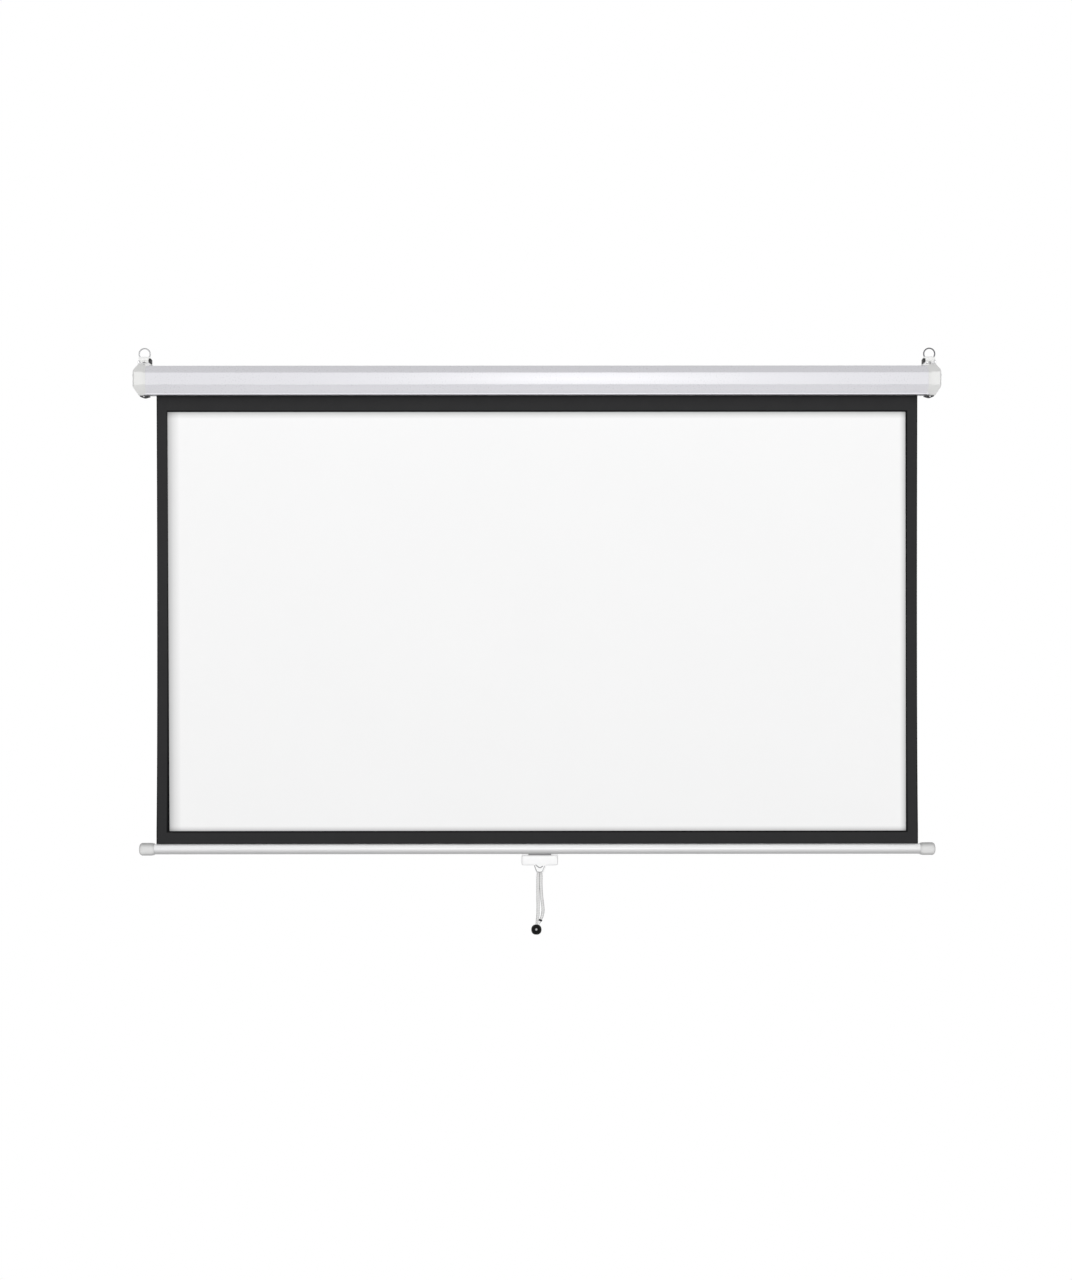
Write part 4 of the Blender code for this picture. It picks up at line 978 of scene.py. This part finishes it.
def makeSeat(name, side):
    # the steel seat, its corners rounded and its outer ear turned up
    low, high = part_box(f"hanger_seat_{name}")
    top = low.z + hanger["seatThick"]
    outline = [(low.x, low.y), (high.x, low.y), (high.x, high.y), (low.x, high.y)]
    outline = rounded(outline, hanger["seatCorner"], 6)
    seat = piece(f"hangerSeat.{name}", extrude(outline, low.z, top, "z", hanger["edge"]), "brightSteel")
    ear, reach = hanger["ear"], hanger["x"] + hanger["radius"]
    near, far = sorted((side * (reach - hanger["earThick"]), side * reach))
    shape = [(-ear, top - past), (ear, top - past), *arc((0, -hanger["pin"]), ear, 0, 180, 20)]
    carve(seat, extrude(shape, near, far, "x", hanger["edge"]), "UNION")
    carve(seat, pinHole(near, far))
    settle(seat, "bright_steel", "case", f"hanger_seat_{name}")


def makeHingeBlock(name, side):
    # the black block that grips the pin, its inner face leaning out to a foot beside the seat
    low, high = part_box(f"hinge_block_{name}")
    ear = (high.y - low.y) / 2
    outer, inner = sorted((abs(low.x), abs(high.x)), reverse=True)
    spread, foot = inner - hingeBlock["spread"], low.z - hingeBlock["drop"]
    shape = [(-ear, foot), (ear, foot), *arc((0, high.z - ear), ear, 0, 180, 24)]
    near, far = sorted((side * spread, side * outer))
    made = piece(f"hingeBlock.{name}", extrude(shape, near, far, "x", hanger["edge"]), "blackPlastic")
    shoulder = high.z - hingeBlock["shoulder"]
    lean = [
        (outer + past, low.z), (inner - gap, low.z), (inner - gap, foot - past),
        (spread - past, foot - past), (spread - past, shoulder), (spread + gap, shoulder),
        (inner - 0.0008, high.z - 0.0008), (outer - 0.001, high.z + 0.0005), (outer + past, high.z + 0.0005),
    ]
    carve(made, extrude([(side * a, b) for a, b in lean], -ear - past, ear + past, "y"), "INTERSECT")
    carve(made, pinHole(low.x, high.x))
    settle(made, "black_plastic", "case", f"hinge_block_{name}")


def makeLoopPin(name, side):
    low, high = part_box(f"loop_pin_{name}")
    length, head, radius = high.x - low.x, 0.0012, hanger["pinRadius"]
    wide = (high.z - low.z) / 2
    profile = [(0, length), (wide * 0.7, length), (wide, length - head * 0.5), (wide, length - head)]
    profile += [(radius, length - head), (radius, bevel), (radius - bevel, 0), (0, 0)]
    start = low.x if side > 0 else high.x
    work = lathe(profile, (start, 0, -hanger["pin"]), (0, side * pi / 2, 0), 32)
    piece(f"loopPin.{name}", work, "brightSteel", "bright_steel", "case", f"loop_pin_{name}")


def makeBumper(name, side):
    # a moulded rubber wedge, with a white keel in the end cap's plastic let into its front as a painted
    # highlight
    low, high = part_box(f"bumper_{name}")
    inner, outer = sorted((abs(low.x), abs(high.x)))
    middle, tip = inner + bumper["keelAt"] * (outer - inner), bumper["tip"]
    wedge = rounded([
        (inner, high.z), (outer, high.z), (outer, high.z - 0.0012), (middle + tip, low.z),
        (middle - tip, low.z), (inner, high.z - 0.0014),
    ], 0.001, 4)
    work = extrude([(side * a, b) for a, b in wedge], low.y, high.y, "y", 0.0006)
    piece(f"bumper.{name}", work, "blackRubber", "black_rubber", "case", f"bumper_{name}")
    # painted highlight: the white keel
    wide, thin = bumper["keel"], bumper["keelTip"]
    keel = rounded([
        (middle - wide, high.z - 0.0001), (middle + wide, high.z - 0.0001), (middle + thin, low.z + 0.001),
        (middle - thin, low.z + 0.001),
    ], 0.0004, 3)
    work = extrude([(side * a, b) for a, b in keel], low.y - bumper["keelDeep"], low.y - gap, "y", 0.0003)
    piece(f"capKeel.{name}", work, "capPlastic", "white_plastic", "case")


for name, side in sides:
    for make in (makeLoop, makeSeat, makeHingeBlock, makeLoopPin, makeBumper):
        make(name, side)
print("hanging gear: loops, seats, blocks, pins and bumpers")

# Weight bar and its caps
bar = dict(
    z=-1.2469, radius=0.013, wall=0.001, slot=0.0026, capRadius=0.016, capLength=0.038,
    capRound=0.008, capLead=0.006, capMouth=0.0145, capEnd=0.007,
)


def makeBar():
    # a slotted tube
    low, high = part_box("weight_bar")
    middle = (clothY, bar["z"])
    outer, inner = bar["radius"], bar["radius"] - bar["wall"]
    outTurn, inTurn = [degrees(asin(bar["slot"] / 2 / radius)) for radius in (outer, inner)]
    outline = arc(middle, outer, 90 + outTurn, 450 - outTurn, 96)
    outline += arc(middle, inner, 450 - inTurn, 90 + inTurn, 72)
    work = extrude(outline, low.x, high.x, cuts=24)
    piece("weightTube", work, "barPaint", "bar_enamel", "bar", "weight_bar")


def makeBarCap(name, side):
    length, wide, turn, lead = bar["capLength"], bar["capRadius"], bar["capRound"], bar["capLead"]
    bore, mouth, floor = bar["radius"] + gap, bar["capMouth"], length - bar["capEnd"]
    profile = [(0.0, length), *arc((wide - turn, length - turn), turn, 90, 0, 12)]
    profile += [
        (wide, lead + 0.0008), (wide - 0.0002, lead), (mouth, bevel), (mouth - bevel, 0), (bore, 0),
        (bore, floor), (0.0, floor),
    ]
    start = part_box(f"bar_cap_{name}")[1 if side < 0 else 0].x
    work = lathe(profile, (start, clothY, bar["z"]), (0, side * pi / 2, 0), 64)
    piece(f"barCap.{name}", work, "barCapPlastic", "white_plastic", "bar", f"bar_cap_{name}")


makeBar()
for name, side in sides:
    makeBarCap(name, side)

# Pull handle: a rounded block with two lugs at the bar and a flared neck below
handle = dict(
    x=0.006, top=-1.2619, width=0.092, height=0.026, depth=0.016, corner=0.0065,
    edge=0.0044, lug=0.016, lugHigh=0.0044, lugEdge=0.001, lugDepth=0.0082,
    neckTop=0.03, neckFoot=0.0175, neck=0.018, neckEdge=0.0014, mouth=0.00725,
    # grooves in the front of the neck: radius, then places from the block's foot
    grooves=(
        (0.0012, ((-0.0108, 0.0016), (-0.0055, -0.0024), (0.0, -0.0056), (0.0046, -0.0036), (0.0078, -0.0014))),
        (0.0008, ((-0.006, -0.0155), (0.0, -0.0168), (0.006, -0.0155))),
        (0.0008, ((-0.014, 0.0006), (-0.0108, -0.007), (-0.0076, -0.0162))),
        (0.0007, ((0.0128, -0.0006), (0.0096, -0.007), (0.0066, -0.015))),
    ),
    screwIn=0.011, bore=0.0022, counterbore=0.0045,
)


def makeHandle():
    wide, high, lug, half = handle["width"] / 2, handle["height"], handle["lug"], handle["depth"] / 2
    x, top, flare, foot = handle["x"], handle["top"], handle["neckTop"] / 2, handle["neckFoot"] / 2
    footZ = -high - handle["neck"]

    def slab(points, radius, edge, depth):
        line = [(x + a, top + b) for a, b in rounded(points, radius, 6)]
        return extrude(line, clothY - depth, clothY + depth, "y", edge, 4)

    body = slab([(-wide, -high), (wide, -high), (wide, 0), (-wide, 0)], handle["corner"], handle["edge"], half)
    made = piece("pullHandle", body, "handlePlastic")
    carve(made, slab([
        (-flare - 0.004, 0.005 - high), (-flare, -high - 0.0012), (-foot, footZ), (foot, footZ),
        (flare, -high - 0.0012), (flare + 0.004, 0.005 - high),
    ], 0.0024, handle["neckEdge"], half - gap), "UNION")
    for side in (-1, 1):
        low, far = sorted((side * (wide - 0.0006), side * (wide - lug)))
        ear = [(low, -0.01), (far, -0.01), (far, handle["lugHigh"]), (low, handle["lugHigh"])]
        carve(made, slab(ear, 0.002, handle["lugEdge"], handle["lugDepth"] / 2), "UNION")
    seat = circle((clothY, bar["z"]), bar["radius"] + gap, 96)
    carve(made, extrude(seat, x - 0.08, x + 0.08))
    low, mouth = top + footZ, handle["mouth"]
    mouthBlock = block(
        (x - mouth, clothY - 0.006, low - past), (x + mouth, clothY + 0.006, low + 0.0055), 0.0005
    )
    carve(made, mouthBlock, finishName="grooveShade")
    for radius, line in handle["grooves"]:
        path, _ = smoothLine([(x + a, clothY - half, top - high + z) for a, z in line], 0.0007)
        carve(made, tubeOn(path, radius, 12), finishName="grooveShade")
    for side in (-1, 1):
        place = (x + side * (wide - handle["screwIn"]), clothY)
        for radius, low, up in (
            (handle["bore"], 0.009 - high, bar["z"] - top), (handle["counterbore"], -high - past, 0.01 - high)
        ):
            carve(made, extrude(circle(place, radius, 28), top + low, top + up, "z"))
    settle(made, "white_plastic", "bar", "pull_handle")


def makeLiner():
    # the foam strip between the bar and the handle, its grey also standing as painted shade in that gap
    x, half = handle["x"], handle["width"] / 2 - handle["lug"] - 0.0015
    reach = 28
    outline = arc((clothY, bar["z"]), bar["radius"] + 0.0004, 270 - reach, 270 + reach, 16)
    foot = handle["top"] - 0.0001
    outline += [(outline[-1][0], foot), (outline[0][0], foot)]
    work = extrude(outline, x - half, x + half, "x", 0.0002)
    piece("handleLiner", work, "greyFoam", "black_rubber", "bar")


makeHandle()
makeLiner()
print("bar: tube, caps, handle and liner")

# What stays from the CAD model takes its finish by its slot
slotFinish = {
    "case_enamel": "caseEnamel", "white_plastic": "capPlastic", "bright_steel": "brightSteel",
    "galvanised_steel": "zinc", "spring_steel": "springSteel", "black_plastic": "blackPlastic",
    "black_rubber": "blackRubber", "nylon": "nylon", "black_cloth": "blackRubber", "viewing_coat": "capPlastic",
    "bar_enamel": "barPaint", "white_cord": "cordBraid",
}
for part in frame["record"]["subparts"]:
    materials = nodes[part["node"]].data.materials
    materials.clear()
    materials.append(finishes[slotFinish[part["material_slot"]]])

# Studio: soft light, strongest from the front, one lamp high behind the camera, and a pale floor
studio = dict(
    base=0.085, front=2.05, back=1.3, tilt=-2.0, white=1.0,
    lampPlace=(0.45, -12.0, 1.45), lampAim=(0.0, 0.0, -0.65), lampSize=0.8, lampPower=147.0,
    floor=-3.0, floorHalf=3.5, floorColour=(0.93, 0.93, 0.93), floorShow=0.3,
    shadowReach=(1.5, 0.35),
)


def plainMask(shade):
    # 1 for rays from the camera, and for those that metal, gloss and glass send on
    kinds = ("Is Camera Ray", "Is Glossy Ray", "Is Transmission Ray")
    seen, glossy, passed = shade.node("ShaderNodeLightPath", out=kinds)
    return seen.most(glossy).most(passed)


def makeWorld():
    world = bpy.data.worlds.new("studio")
    bpy.context.scene.world = world
    world.use_nodes = True
    tree = world.node_tree
    tree.nodes.clear()
    shade = Shade(tree)
    _, deep, up = shade.place("Generated").parts()
    tilt = radians(studio["tilt"])
    ahead = (sin(tilt) * up - cos(tilt) * deep).most(0)
    behind = deep.most(0)
    soft = studio["base"] + studio["front"] * ahead * ahead * ahead + studio["back"] * behind * behind
    lights = [
        shade.node("ShaderNodeBackground", {}, {"Color": white, "Strength": strength})
        for strength in (soft, studio["white"])
    ]
    mixed = shade.node("ShaderNodeMixShader", {}, {0: plainMask(shade), 1: lights[0], 2: lights[1]})
    tree.links.new(mixed.socket, tree.nodes.new("ShaderNodeOutputWorld").inputs["Surface"])


def makeFloor():
    # pale floor that fades to plain white away from the screen's own shadow
    work = bmesh.new()
    bmesh.ops.create_grid(work, x_segments=8, y_segments=8, size=studio["floorHalf"])
    bmesh.ops.translate(work, verts=work.verts, vec=(0, 0, studio["floor"]))
    material, shade = finish("floor", 0.9)
    tree = material.node_tree
    skin = tree.nodes["Principled BSDF"]
    skin.inputs["Base Color"].default_value = rgba(studio["floorColour"])
    across, deep, _ = shade.place().parts()
    reachX, reachY = studio["shadowReach"]
    square = (across / reachX) * (across / reachX) + (deep / reachY) * (deep / reachY)
    show = studio["floorShow"]
    mask = plainMask(shade) * (1 - show + show * square.fade(0.4, 4.0))
    plain = shade.node("ShaderNodeEmission", {}, {"Color": white, "Strength": studio["white"]})
    mixed = shade.node("ShaderNodeMixShader", {}, {0: mask, 1: Shade(tree, skin.outputs[0]), 2: plain})
    tree.links.new(mixed.socket, tree.nodes["Material Output"].inputs["Surface"])
    finishes["floor"] = material
    piece("floor", work, "floor")


def makeLamp():
    data = bpy.data.lights.new("lamp", "AREA")
    data.size = studio["lampSize"]
    data.energy = studio["lampPower"]
    made = show("lamp", data)
    made.location = studio["lampPlace"]
    aim = Vector(studio["lampAim"]) - Vector(studio["lampPlace"])
    made.rotation_euler = aim.to_track_quat("-Z", "Y").to_euler()
    made.visible_camera = False


makeWorld()
makeFloor()
makeLamp()
bpy.context.scene.view_settings.view_transform = "Standard"
print("studio: set")
